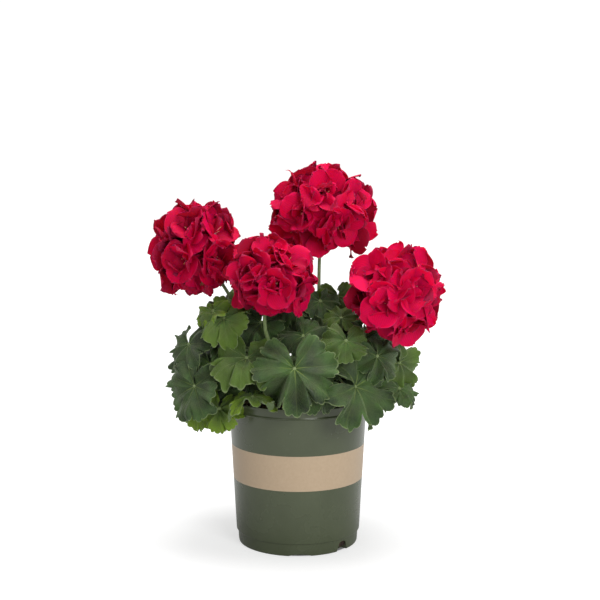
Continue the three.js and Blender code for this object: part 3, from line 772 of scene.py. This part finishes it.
def petiole_parts(shoot, leaf):
    """A petiole with a swollen foot between two stipules, an end that spreads, and hairs."""
    face, along, _ = leaf_axes(leaf)
    start = bezier(stem_controls(shoot), leaf["start"])
    end = leaf_surface(leaf, np.full(5, 4.5 / leaf["size"]), np.linspace(-161, 161, 5)).mean(axis=0)
    length = np.linalg.norm(end - start)
    leave = (end - start) * [1, 1, 0]
    leave = unit(leave) * 0.25 * length + [0, 0, 0.3 * length]
    arrive = face * 0.32 * length + along * 0.1 * length
    t = np.linspace(0, 1, 30)
    path = bezier([start, start + leave, end - arrive, end + face * 0.1], t)
    radii = PETIOLE_RADIUS * (1 - 0.22 * t) + 1.1 * np.exp(-t * 18) + 0.9 * np.exp((t - 1) * 30)
    radii *= min(1, 0.4 + leaf["size"] / 40)
    draw = draw_from(leaf["seed"] + 1000)
    axis = unit(path[1] - path[0])
    sideways = unit(np.cross(axis, [0, 0, 1.0]))
    directions = [axis, sideways, np.cross(axis, sideways)]
    parts = [closed_tube(path, radii, 10, green_age=np.full(30, 0.1))]
    for round_ in (draw(-25, 5), draw(175, 205)):
        place = (start + axis * 1.5, directions, round_, (30, 62))
        parts.append(pointed_scale(*place, draw(6, 8), 5, 0.1, 0.55))
    return parts, hair_part(path, radii, int(length * PETIOLE_HAIRS_PER_MM), draw)


# The leaves: soft rounded blades of seven shallow lobes with scalloped margins, 5 to 10 cm
# across, pleated along the main veins and waved at the edge. Their outline and lie are those
# of the CAD solids, with the teeth, the veins and the finer waves added.

LOBE_COUNT = 7
LOBE_ANGLE = 46
LAST_ANGLE = 161
TEETH_PER_LOBE = 5
TEETH_DEPTH = 0.075
NOTCH_SHARPNESS = 4.3
BLADE_THICKNESS = 0.5
TUCKED_SHARE = 0.42
LAP_TURN = 0.09
LAP_HEIGHT = 0.06
LEAF_SHARES = np.array([0.025, 0.1, 0.2, 0.31, 0.42, 0.53, 0.63, 0.73, 0.82, 0.89, 0.945, 0.98, 1])
LEAF_COLUMNS = LOBE_COUNT * TEETH_PER_LOBE * 4 + 1
INNER_COLUMNS = LOBE_COUNT * TEETH_PER_LOBE * 3 + 1
LARGE_LEAF = 28.5


def leaf_surface(leaf, share, angle, teeth=0.0):
    """Points of a blade at shares of the way to its margin and angles from its middle lobe."""
    face, along, across = leaf_axes(leaf)
    draw = draw_from(leaf["seed"])
    notches = np.array([leaf["lobing"] * draw(0.7, 1.3) for _ in range(LOBE_COUNT + 1)])
    waves, phase, wave = math.floor(draw(4, 7)), draw(0, 2 * math.pi), draw(0.07, 0.13)
    place = angle / LOBE_ANGLE
    lobe = np.floor(place + 0.5)
    in_lobe = place - lobe
    notch_number = (lobe + 3 + (in_lobe > 0)).astype(int)
    sharpness = NOTCH_SHARPNESS if teeth else 2.2
    outline = 1 - notches[notch_number] * np.abs(2 * in_lobe) ** sharpness
    outline *= 1 - 0.16 * (angle / LAST_ANGLE) ** 2
    tuck = (lobe == leaf["tucked"]) * np.cos(np.pi * in_lobe) ** 2
    outline *= 1 - TUCKED_SHARE * tuck
    scallop = 1 - np.abs(np.cos(np.pi * place * TEETH_PER_LOBE)) ** 0.7
    outline *= 1 - teeth * scallop * share**7
    turn = np.radians(angle)
    height = 0.3 * share - 0.28 * share**2 - 0.05 * share * np.cos(2 * np.pi * place)
    height += wave * share**2 * np.sin(turn * waves + phase)
    height += leaf["fold"] * (share * np.sin(turn)) ** 2
    hanging = (np.maximum(share - 0.55, 0) / 0.45) ** 1.4 if teeth else share
    height -= leaf["hem"] * hanging * np.maximum(np.cos(turn), 0)
    if teeth:
        # The two end lobes are rounded off beside the petiole
        outline *= 1 - 0.45 * (np.maximum(np.abs(place) - 3.1, 0) / 0.4) ** 1.5
        # Each lobe laps over or under the next, with a fold between them
        laps = [draw(0.6, 1.2) * (1 if draw(-1, 1) > 0 else -1) for _ in range(LOBE_COUNT + 1)]
        laps = np.array(laps)
        laps[[0, -1]] = 0
        lap = laps[notch_number]
        folding = np.sin(2 * np.pi * place) * share**3
        turn += LAP_TURN * np.abs(lap) * folding
        turn += 0.15 * share**2 * np.sign(place) * np.maximum(np.abs(place) - 2.4, 0)
        height += LAP_HEIGHT * lap * folding
        bends = np.array([draw(-1, 1) for _ in range(LOBE_COUNT + 2)])
        bends[[0, 1, -2, -1]] *= 0.4
        bend = bends[(lobe + 4).astype(int)] * np.cos(np.pi * in_lobe) ** 2
        curl = leaf["curl"] * bend * np.maximum(share - 0.35, 0) ** 1.6
        droop = -leaf["droop"] * np.maximum(share - 0.5, 0) ** 1.5
        pleat = -0.06 * share**2 * np.cos(2 * np.pi * place)
        frill = 0.08 * share**4 * np.sin(np.pi * 2 * place * 1.45 + phase * 2)
        frill += 0.035 * share**4 * np.sin(np.pi * 2 * place * 2.7 + phase * 5)
        down, side = share * np.cos(turn), share * np.sin(turn)
        ripple = 0.13 * share * np.sin(4.2 * down + phase) * np.sin(3.7 * side + 2 * phase)
        finer = np.sin(9.5 * down + 3 * phase) * np.sin(8.3 * side + phase)
        ripple += 0.035 * share**2 * finer
        curl -= 0.9 * tuck * np.maximum(share - 0.3, 0) ** 1.4
        height = height + curl + droop + pleat + frill + leaf["waviness"] * ripple
    radius = leaf["size"] * outline * share
    flat = along * (radius * np.cos(turn))[..., None] + across * (radius * np.sin(turn))[..., None]
    return leaf["at"] + flat + face * (leaf["size"] * height)[..., None]


def leaf_part(leaf):
    """One leaf's blade."""
    columns = LEAF_COLUMNS if leaf["size"] > LARGE_LEAF else INNER_COLUMNS
    angle, share = np.meshgrid(np.linspace(-LAST_ANGLE, LAST_ANGLE, columns), LEAF_SHARES)
    grid = leaf_surface(leaf, share, angle, teeth=TEETH_DEPTH)
    return closed_blade(
        grid,
        BLADE_THICKNESS,
        blade_lobe=angle / LOBE_ANGLE,
        blade_share=share,
        blade_size=leaf["size"],
        blade_tone=leaf["tone"],
        blade_young=leaf["young"],
    )


# Living green stem: a hairy, fleshy skin that is grey green and soft to the light, and turns
# to corky brown with age towards the foot of the stem
stem_skin, node, place = new_material("fleshy_green_stem")
age = node("Attribute", attribute_name="green_age").outputs["Fac"]
blotch = node("TexNoise", {"Vector": place, "Scale": 260.0, "Detail": 5.0})
ribs = node("TexNoise", {"Vector": place, "Scale": 900.0, "Detail": 2.0})
blotched = node("MapRange", [blotch, 0.35, 0.65])
green = node("Mix", [blotched, "#6c8149", "#889a66"])
cork = node("Mix", [blotched, "#4a3a26", "#75654a"])
aged = node("MapRange", [age, 0.35, 0.75])
skin = node("Mix", [aged, green, cork])
skin_bump = node("Bump", {"Strength": 0.4, "Distance": 0.0004, "Height": ribs})
shader = node("BsdfPrincipled", {
    "Base Color": skin,
    "Roughness": 0.6,
    "Subsurface Weight": 0.15,
    "Subsurface Radius": (0.8, 1.0, 0.3),
    "Subsurface Scale": 0.001,
    "Sheen Weight": 0.35,
    "Sheen Roughness": 0.5,
    "Sheen Tint": "#d8e4c4",
    "Normal": skin_bump,
})
node("OutputMaterial", [shader])

# Plant hair: a silvery thread, clear enough to glow when the light is behind it
hair_skin, node, place = new_material("silvery_plant_hair")
patch = node("TexNoise", {"Vector": place, "Scale": 600.0, "Detail": 2.0})
silver = node("Mix", [patch, "#a9bb8c", "#e6ecd8"])
shader = node("BsdfPrincipled", {
    "Base Color": silver, "Roughness": 0.45, "Subsurface Weight": 0.4, "Subsurface Scale": 0.0004,
})
node("OutputMaterial", [shader])

# Geranium leaf: matt and downy, so the light lies on it as a grey green bloom. The veins are lighter and
# spread from the petiole, the margin is a thin pale line, the young leaves are yellow green, and the
# underside is paler with the veins standing out. The upper green is painted in patches of light and
# shade, and darker on the shaded leaves inside the plant.
leaf_skin, node, place = new_material("downy_leaf")
lobe_place, share, tone, young, upper = (
    node("Attribute", attribute_name=name).outputs["Fac"]
    for name in ("blade_lobe", "blade_share", "blade_tone", "blade_young", "upper_side")
)
shifted = node("Math", [lobe_place, 10.5], operation="ADD")
within = node("Math", [shifted], operation="FRACT")
centred = node("Math", [within, 0.5], operation="SUBTRACT")
aside = node("Math", [centred], operation="ABSOLUTE")
aside_width = node("Math", [aside, share], operation="MULTIPLY")
# The main vein is about 1 mm wide on a blade of 45 mm, and a little less at its end
main_vein = node("MapRange", [aside_width, 0.004, 0.02, 1.0, 0.0])
# Side veins leave the main one every seventh of the blade, and run up towards the margin
climb = node("Math", [aside, -1.25, share], operation="MULTIPLY_ADD")
rungs = node("Math", [climb, 7.0], operation="MULTIPLY")
rung = node("Math", [rungs, 0.5], operation="PINGPONG")
side_vein = node("MapRange", [rung, 0.01, 0.08, 0.5, 0.0])
veins = node("Math", [main_vein, side_vein], operation="MAXIMUM")
mesh_cells = node("TexVoronoi", {"Vector": place, "Scale": 420.0}, feature="DISTANCE_TO_EDGE")
net = node("MapRange", [mesh_cells, 0, 0.12, 1.0, 0.0])
cloud = node("TexNoise", {"Vector": place, "Scale": 38.0, "Detail": 4.0})
painted_light_share = node("MapRange", [cloud, 0.3, 0.7])
# Painted light and shade: a broad noise mixes the green between a dark and a light one, and a low leaf
# tone paints the shaded inner leaves darker
dark = node("Mix", [tone, "#0a1608", "#1b2c13"])
light = node("Mix", [tone, "#365222", "#527138"])
lit_and_shaded_green = node("Mix", [painted_light_share, dark, light])
# The zone that gives the plant its name: a faint olive ring half way out
ring_from = node("MapRange", [share, 0.35, 0.55], interpolation_type="SMOOTHSTEP")
ring_to = node("MapRange", [share, 0.6, 0.78, 1.0, 0.0], interpolation_type="SMOOTHSTEP")
ring = node("Math", [ring_from, ring_to], operation="MULTIPLY")
ring_share = node("Math", [ring, 0.4], operation="MULTIPLY")
zoned = node("Mix", [ring_share, lit_and_shaded_green, "#3c4327"])
youth_edge = node("MapRange", [share, 0.3, 0.95, 0.25, 1.0])
youth = node("Math", [young, youth_edge], operation="MULTIPLY")
fresh = node("Mix", [youth, zoned, "#7a981c"])
vein_fade = node("MapRange", [share, 0, 0.42, 0.9, 0.1])
vein_share = node("Math", [veins, vein_fade], operation="MULTIPLY")
veined = node("Mix", [vein_share, fresh, "#8c9c52"])
net_share = node("Math", [net, 0.18], operation="MULTIPLY")
netted = node("Mix", [net_share, veined, "#5e7840"])
margin = node("MapRange", [share, 0.972, 0.995, 0, 0.75])
edged = node("Mix", [margin, netted, "#8b9c6c"])
back = node("Mix", [vein_share, "#6c8054", "#9cab72"])
colour = node("Mix", [upper, back, edged])
vein_depth = node("Math", [veins, -0.8], operation="MULTIPLY")
quilt = node("Math", [net, -0.35, vein_depth], operation="MULTIPLY_ADD")
quilted = node("Bump", {"Strength": 0.55, "Distance": 0.0009, "Height": quilt})
down = node("TexNoise", {"Vector": place, "Scale": 1500.0, "Detail": 2.0})
downy = node("Bump", {"Strength": 0.18, "Distance": 0.0003, "Height": down, "Normal": quilted})
matt = node("MapRange", [cloud, 0.3, 0.7, 0.5, 0.66])
shader = node("BsdfPrincipled", {
    "Base Color": colour,
    "Roughness": matt,
    "Specular IOR Level": 0.32,
    "Subsurface Weight": 0.3,
    "Subsurface Radius": (0.7, 1.0, 0.25),
    "Subsurface Scale": 0.0012,
    "Sheen Weight": 0.3,
    "Sheen Roughness": 0.4,
    "Sheen Tint": "#cfe0b4",
    "Normal": downy,
})
node("OutputMaterial", [shader])

for name, shoot in SHOOTS.items():
    stems, hairs = stem_parts(shoot)
    hairs = [hairs]
    for leaf in shoot["leaves"]:
        parts, leaf_hairs = petiole_parts(shoot, leaf)
        stems += parts
        hairs.append(leaf_hairs)
    place_parts(f"stems_{name}", stems, stem_skin, "foliage", shoot["node"])
    place_parts(f"hairs_{name}", hairs, hair_skin, "foliage", shoot["node"], sharp=0)
    blades = [leaf_part(leaf) for leaf in shoot["leaves"]]
    place_parts(f"leaves_{name}", blades, leaf_skin, "foliage", shoot["node"], sharp=70)


# The flower heads: a long bare stalk ends in an umbel, from which thin pedicels spread like
# the ribs of an umbrella. Each ends in a green calyx and a floret of five broad dark red
# petals with a few small upright ones inside, so that the head closes to a ball.

STALK_RADIUS = 2.4
GOLDEN_ANGLE = 137.508
PETALS_PER_FLORET = 5
INNER_PETALS = 4
FLORET_TURN = 31
PETAL_THICKNESS = 0.35
PETAL_ROWS = 11
PETAL_COLUMNS = 9
SEPALS = 5
SEPAL_LENGTH = 8.5
PEDICEL_RADIUS = 0.75
STAMENS = 4
BRACTS = 6


def head_at(node, umbel, stalk, **habit):
    """A head: its CAD node, where its pedicels meet, and the way its stalk takes to there."""
    head = {"node": node, "umbel": umbel, "stalk": stalk, "florets": 12, "spread": 125}
    head |= {"turn": 0, "tall": 1, "between": 12, "lowest": 135}
    return {**head, **habit}


HEADS = {
    "left": head_at(
        "flower_head_left", (-117, 0, 350), [(-77, -10, 291)],
        core=28, petal=33, lean=(-90, 25), seed=17, tall=1.14, tone=-0.2, ruffle=0.07,
        buds=[(200, 24, 34), (320, 30, 33), (80, 26, 34)],
    ),
    "front": head_at(
        "flower_head_front", (-30, -62, 323), [(-37, -54, 262), (-36, -61, 300)],
        core=27, petal=31, lean=(0, 6), turn=40, seed=34, tone=-0.05, ruffle=0.065, lowest=128,
        buds=[(190, 26, 32), (330, 22, 31)],
    ),
    "right": head_at(
        "flower_head_right", (111, -58, 304), [(84, -40, 266)],
        core=29, petal=35, lean=(50, 28), turn=10, seed=8, tall=1.05, tone=0.3, ruffle=0.04,
        buds=[(200, 24, 36), (320, 28, 34)],
    ),
    "rear_right": head_at(
        "flower_head_rear", (30, 20, 389), [(25, 12, 290), (26, 19, 345)],
        core=36, petal=34, florets=15, spread=128, lean=(0, 5), seed=16, tone=0.05, ruffle=0.05,
        between=16, lowest=122, buds=[(100, 14, 34), (215, 24, 32), (330, 28, 26)],
    ),
}


def smooth_route(points, count):
    """Points on the centripetal Catmull-Rom curve through a few points."""
    points = [np.array(point, float) for point in points]
    points = [2 * points[0] - points[1], *points, 2 * points[-1] - points[-2]]
    route = []
    for place in np.linspace(0, len(points) - 3, count):
        i = min(int(place), len(points) - 4)
        t = place - i
        a, b, c, d = points[i : i + 4]
        ab, bc, cd = (math.sqrt(np.linalg.norm(q - p)) for p, q in ((a, b), (b, c), (c, d)))
        leave = ((b - a) / ab - (c - a) / (ab + bc) + (c - b) / bc) * bc
        arrive = ((c - b) / bc - (d - b) / (bc + cd) + (d - c) / cd) * bc
        bend = -3 * b + 3 * c - 2 * leave - arrive
        twist = 2 * b - 2 * c + leave + arrive
        route.append(b + leave * t + bend * t**2 + twist * t**3)
    return np.array(route)


def floret_directions(upright, head):
    """A floret's axis and the two directions square to it, turned with the head's lean."""
    directions = np.stack([upright, *crosswise(upright)])
    turn, angle = np.radians(head["lean"])
    hinge = np.array([math.cos(turn), math.sin(turn), 0])
    swung = directions * math.cos(angle) + np.cross(hinge, directions) * math.sin(angle)
    return swung + np.outer(directions @ hinge, hinge) * (1 - math.cos(angle))


def petal_part(root, directions, petal, tone):
    """One petal: a narrow claw that widens to a broad rounded end, cupped and waved."""
    axis = directions[0]
    radial, sideways = round_axis(directions, petal["round"])
    s = 1 - (1 - np.linspace(0, 1, PETAL_ROWS)[:, None]) ** 1.4
    u = np.linspace(1, -1, PETAL_COLUMNS)[None, :]
    length = petal["length"]
    width = length * petal["wide"]
    rise = np.sin(np.pi / 2 * np.minimum(s / 0.6, 1)) ** 1.25
    fall = (1 - (np.maximum(s - 0.6, 0) / 0.405) ** 2.4) ** 0.5
    half = width * (0.14 + 0.86 * rise) * fall
    tilt = np.radians(petal["tilt"] + petal["open"] * (s - 0.5) + petal["curl"] * s**2)
    heading = radial * np.sin(tilt) + axis * np.cos(tilt)
    inward = axis * np.sin(tilt) - radial * np.cos(tilt)
    steps = (heading[:-1] + heading[1:]) / 2 * np.diff(s, axis=0) * length
    middle = np.concatenate([np.zeros((1, 3)), np.cumsum(steps, axis=0)])
    height = petal["cup"] * width * (u**2) * s - petal["skew"] * length * u * s
    height += petal["crease"] * width * np.abs(u) * s
    wave = np.abs(u) ** 1.3 * s**1.5 * np.sin(petal["waves"] * u + 3 * s + petal["phase"])
    height += length * petal["ruffle"] * wave
    height += length * 0.5 * petal["ruffle"] * s**3 * np.sin(7 * u + 2 * petal["phase"])
    cleft = 0.09 * np.exp(-((u / 0.22) ** 2)) * max(0, math.sin(petal["phase"]))
    drawn_in = length * s**4 * (0.05 * u**2 + 0.02 * np.cos(8 * u + petal["phase"]) + cleft * s**4)
    grid = (
        root
        + middle[:, None, :]
        + sideways * (u * half)[..., None]
        + inward[:, None, :] * height[..., None]
        - heading[:, None, :] * drawn_in[..., None]
    )
    return closed_blade(grid, PETAL_THICKNESS, petal_across=u, petal_along=s, petal_tone=tone)


def floret_petals(head, root, directions, i, outer, draw):
    """The outer petals in the places that the CAD gives, and the small inner ones."""
    parts = []
    for petal in outer:
        petal["tilt"] += draw(-10, 26)
        petal["round"] += draw(-9, 9)
        petal["length"] *= 1.06
        petal["open"] = draw(-5, 45)
        petal["wide"] = draw(0.4, 0.5)
        petal["cup"] = draw(-0.14, 0.16)
        petal["crease"] = draw(-0.06, 0.06)
        petal["ruffle"] = head["ruffle"] * draw(0.2, 0.9)
        petal["skew"] += draw(-0.06, 0.14)
        petal["waves"] = draw(3, 6)
        petal["phase"] = draw(0, 6.28)
        parts.append(petal_part(root, directions, petal, head["tone"] + draw(0, 1)))
    for j in range(INNER_PETALS):
        petal = {
            "round": 36 + (72 + 144 * j if j < 2 else 90 * j) + FLORET_TURN * i + draw(-34, 34),
            "tilt": draw(14, 52) if j > 1 else draw(38, 70),
            "length": head["petal"] * (draw(0.55, 0.78) if j > 1 else draw(0.82, 0.98)),
            "crease": draw(-0.1, 0.1),
            "ruffle": head["ruffle"] * draw(0.4, 1.2),
            "curl": draw(-10, 30),
            "skew": draw(-0.25, 0.25),
            "open": draw(-10, 60),
            "wide": draw(0.36, 0.48),
            "cup": draw(-0.16, 0.2),
            "waves": draw(3, 7),
            "phase": draw(0, 6.28),
        }
        parts.append(petal_part(root, directions, petal, head["tone"] + draw(0, 1)))
    return parts


def calyx_parts(umbel, root, directions, draw):
    """A pedicel from the umbel to the back of a floret, and the five sepals there."""
    axis = directions[0]
    bow = np.array([draw(-3, 3), draw(-3, 3), draw(-4, 0)])
    t = np.linspace(0, 1, 10)
    path = bezier([umbel, (umbel + root) / 2 + bow, root - axis * 1.5], t)
    radii = PEDICEL_RADIUS + 0.9 * np.exp((t - 1) * 12)
    parts = [closed_tube(path, radii, 8, green_age=0.2 - 0.6 * t)]
    for i in range(SEPALS):
        opened = draw(38, 62)
        sepal = (root - axis * 2.2, directions, 72 * i + draw(-8, 8), (opened, opened + 34))
        parts.append(pointed_scale(*sepal, SEPAL_LENGTH, 3, 0, 0))
    return parts


def bud_parts(umbel, way, reach, draw):
    """A nodding bud on its pedicel, shut in five sepals, and the folded petals in it."""
    t = np.linspace(0, 1, 12)
    end = umbel + way * reach
    path = bezier([umbel, (umbel + end) / 2 + [draw(-3, 3), draw(-3, 3), 6], end], t)
    axis = unit(path[-1] - path[-2])
    directions = [axis, *crosswise(axis)]
    radii = PEDICEL_RADIUS + 0.8 * np.exp((t - 1) * 12)
    greens = [closed_tube(path, radii, 8, green_age=0 * t)]
    for i in range(SEPALS):
        sepal = (end - axis * 0.5, directions, 72 * i + draw(-6, 6), (38, 4))
        greens.append(pointed_scale(*sepal, 10, 4.6, 0, 0))
    swelling = 2.3 * np.sin(np.pi * (0.1 + 0.85 * t)) ** 0.6
    values = {"petal_across": 0.3, "petal_along": 0.4 + 0.6 * t, "petal_tone": 0.2, "upper_side": 1}
    return greens, closed_tube(end + np.outer(t * 10.5, axis), swelling, 10, **values)


def stamen_parts(root, directions, draw):
    """The few stamens that a half double floret keeps: pale threads with an anther each."""
    axis, first, second = directions
    parts = []
    for i in range(STAMENS):
        radial, _ = round_axis(directions, 90 * i + draw(-40, 40))
        heading = unit(axis + draw(0.1, 0.45) * radial)
        length = draw(9, 15)
        bow = first * draw(-1, 1) + second * draw(-1, 1)
        t = np.linspace(0, 1, 7)
        path = bezier([root, root + heading * length * 0.5 + bow, root + heading * length], t)
        radii = 0.22 + 0.34 * np.exp(-(((t - 0.95) / 0.1) ** 2))
        parts.append(closed_tube(path, radii, 5, thread_end=t))
    return parts


def outer_petals(head, i, lengths, draw):
    """A floret's five outer petals, drawn in the order of the CAD."""
    petals = []
    for j in range(PETALS_PER_FLORET):
        petal = {"round": 72 * j + FLORET_TURN * i, "tilt": draw(34, 62)}
        petal["length"] = head["petal"] * draw(*lengths)
        petal["curl"] = draw(-4, 12)
        petal["skew"] = draw(-0.12, 0.12)
        petals.append(petal)
    return petals


def on_ball(height, round_):
    """The direction at a height of a ball and an angle round it."""
    level = math.sqrt(1 - height * height)
    return np.array([level * math.cos(round_), level * math.sin(round_), height])


def head_florets(head):
    """Each floret's upright axis and its outer petals, drawn as the CAD draws them."""
    draw = draw_from(head["seed"])
    lowest = math.cos(math.radians(head["spread"]))
    for i in range(head["florets"]):
        height = 1 - (1 - lowest) * (i + 0.5) / head["florets"]
        round_ = math.radians(i * GOLDEN_ANGLE + head["turn"] + draw(-8, 8))
        yield on_ball(height, round_), outer_petals(head, i, (0.88, 1.08), draw)


# Even directions over a ball, from which the florets between take the widest gap
DIRECTION_COUNT = 400
DIRECTIONS = np.array(
    [
        on_ball(1 - 2 * (i + 0.5) / DIRECTION_COUNT, math.radians(i * GOLDEN_ANGLE))
        for i in range(DIRECTION_COUNT)
    ]
)


def widest_gap(axes, head):
    """The direction, down to the head's lowest, that is furthest from all florets so far."""
    nearest = (DIRECTIONS @ np.array(axes).T).max(axis=1)
    nearest[DIRECTIONS[:, 2] < math.cos(math.radians(head["lowest"]))] = 1
    return DIRECTIONS[nearest.argmin()]


# Geranium petal: a velvety skin of tiny cones that drinks in light, so the red is deep face on and dusty
# pink at a glancing angle. It is bright where light comes through, lighter at the claw, with darker lines
# that run out from it. Its red is painted darker towards the base as painted shade, and light pink along
# the rim as a painted sheen.
velvet, node, place = new_material("velvet_petal")
along, across, tone, upper = (
    node("Attribute", attribute_name=name).outputs["Fac"]
    for name in ("petal_along", "petal_across", "petal_tone", "upper_side")
)
cloud = node("TexNoise", {"Vector": place, "Scale": 45.0, "Detail": 3.0})
mixed_tone = node("Math", [tone, cloud], operation="ADD")
tone_share = node("MapRange", [mixed_tone, 0.3, 1.7])
red = node("Mix", [tone_share, "#b60034", "#f2004b"])
ray_place = node("CombineXYZ", [across, along])
ray_noise = node("TexNoise", {"Vector": ray_place, "Scale": 9.0, "Detail": 2.0})
ray_count = node("Math", [across, 7.0, ray_noise], operation="MULTIPLY_ADD")
ray = node("Math", [ray_count, 0.5], operation="PINGPONG")
ray_share = node("MapRange", [ray, 0, 0.2, 0.2, 0.0])
# Painted shade: the red is darkened towards the base of each petal, fading out two thirds of the way up
painted_base_shade = node("MapRange", [along, 0.15, 0.65, 0.5, 0.0])
base_shaded = node("Mix", [painted_base_shade, red, "#7c0020"])
rayed = node("Mix", [ray_share, base_shaded, "#6c001c"])
claw = node("MapRange", [along, 0.04, 0.16, 0.85, 0.0])
clawed = node("Mix", [claw, rayed, "#f2c9cf"])
# Painted sheen: each petal's rim is mixed towards a light pink, as the light caught by petals seen edge
# on
aside = node("Math", [across], operation="ABSOLUTE")
outmost = node("Math", [aside, along], operation="MAXIMUM")
painted_edge_sheen = node("MapRange", [outmost, 0.94, 1.0, 0, 0.3])
edged = node("Mix", [painted_edge_sheen, clawed, "#e0406c"])
colour = node("Mix", [upper, "#94183e", edged])
cones = node("TexNoise", {"Vector": place, "Scale": 1300.0, "Detail": 2.0})
ray_bump = node("Bump", {"Strength": 0.12, "Distance": 0.0004, "Height": ray})
velvety = node("Bump", {"Strength": 0.12, "Distance": 0.0003, "Height": cones, "Normal": ray_bump})
shader = node("BsdfPrincipled", {
    "Base Color": colour,
    "Roughness": 0.66,
    "Specular IOR Level": 0.1,
    "Subsurface Weight": 0.5,
    "Subsurface Radius": (1.0, 0.08, 0.2),
    "Subsurface Scale": 0.004,
    "Sheen Weight": 0.16,
    "Sheen Roughness": 0.3,
    "Sheen Tint": "#d02c60",
    "Normal": velvety,
})
node("OutputMaterial", [shader])

# Stamens: threads nearly white with a flush of pink, and a dull orange anther on each
filament, node, place = new_material("pale_stamen_thread")
end = node("Attribute", attribute_name="thread_end").outputs["Fac"]
grains = node("TexNoise", {"Vector": place, "Scale": 2600.0, "Detail": 2.0})
flush = node("MapRange", [end, 0.1, 0.7])
thread = node("Mix", [flush, "#fbeeee", "#f3c6cc"])
on_anther = node("MapRange", [end, 0.8, 0.86])
tipped = node("Mix", [on_anther, thread, "#e8b184"])
pollen = node("Bump", {"Strength": 0.4, "Distance": 0.0002, "Height": grains})
shader = node("BsdfPrincipled", {
    "Base Color": tipped,
    "Roughness": 0.6,
    "Subsurface Weight": 0.2,
    "Subsurface Scale": 0.0005,
    "Normal": pollen,
})
node("OutputMaterial", [shader])

for name, head in HEADS.items():
    umbel = np.array(head["umbel"], float)
    shoot = SHOOTS[name]
    start = bezier(stem_controls(shoot), 0.9)
    route = smooth_route([start, *head["stalk"], umbel], 70)
    t = np.linspace(0, 1, 70)
    radii = STALK_RADIUS * (0.92 - 0.14 * t + 0.3 * np.exp(-t * 25) + 0.35 * np.exp((t - 1) * 30))
    stalk = [closed_tube(route, radii, 14, green_age=np.full(70, 0.0))]
    place_parts(f"flower_stalk_{name}", stalk, stem_skin, "foliage", shoot["node"])
    draw = draw_from(head["seed"] + 500)
    petals, greens, stamens = [], [], []
    florets = [(upright, head["core"] - 0.7, outer) for upright, outer in head_florets(head)]
    axes = [floret[0] for floret in florets]
    for i in range(head["between"]):
        upright = widest_gap(axes, head)
        axes.append(upright)
        outer = outer_petals(head, i, (0.8, 0.98), draw)
        florets.append((upright, head["core"] * draw(0.72, 0.9), outer))
    for i, (upright, reach, outer) in enumerate(florets):
        directions = floret_directions(upright, head)
        root = umbel + directions[0] * reach
        petals += floret_petals(head, root, directions, i, outer, draw)
        greens += calyx_parts(umbel, root, directions, draw)
        stamens += stamen_parts(root, directions, draw)
    stalk_axis = unit(route[-1] - route[-2])
    below = [stalk_axis, *crosswise(stalk_axis)]
    for i in range(BRACTS):
        bract = (umbel - stalk_axis * 2, below, 60 * i + draw(-12, 12), (80, 125))
        greens.append(pointed_scale(*bract, draw(7, 10), 4, 0, 0.35))
    for round_, down, reach in head["buds"]:
        way = -stalk_axis * math.cos(math.radians(down))
        way += math.sin(math.radians(down)) * round_axis(below, round_)[0]
        bud_greens, folded = bud_parts(umbel, way, reach, draw)
        greens += bud_greens
        petals.append(folded)
    for part in petals + greens + stamens:
        part[0][:, 2] += (head["tall"] - 1) * (part[0][:, 2] - umbel[2])
    place_parts(f"petals_{name}", petals, velvet, "petals", head["node"], sharp=70)
    place_parts(f"calyces_{name}", greens, stem_skin, "foliage", head["node"])
    place_parts(f"stamens_{name}", stamens, filament, "petals", head["node"])
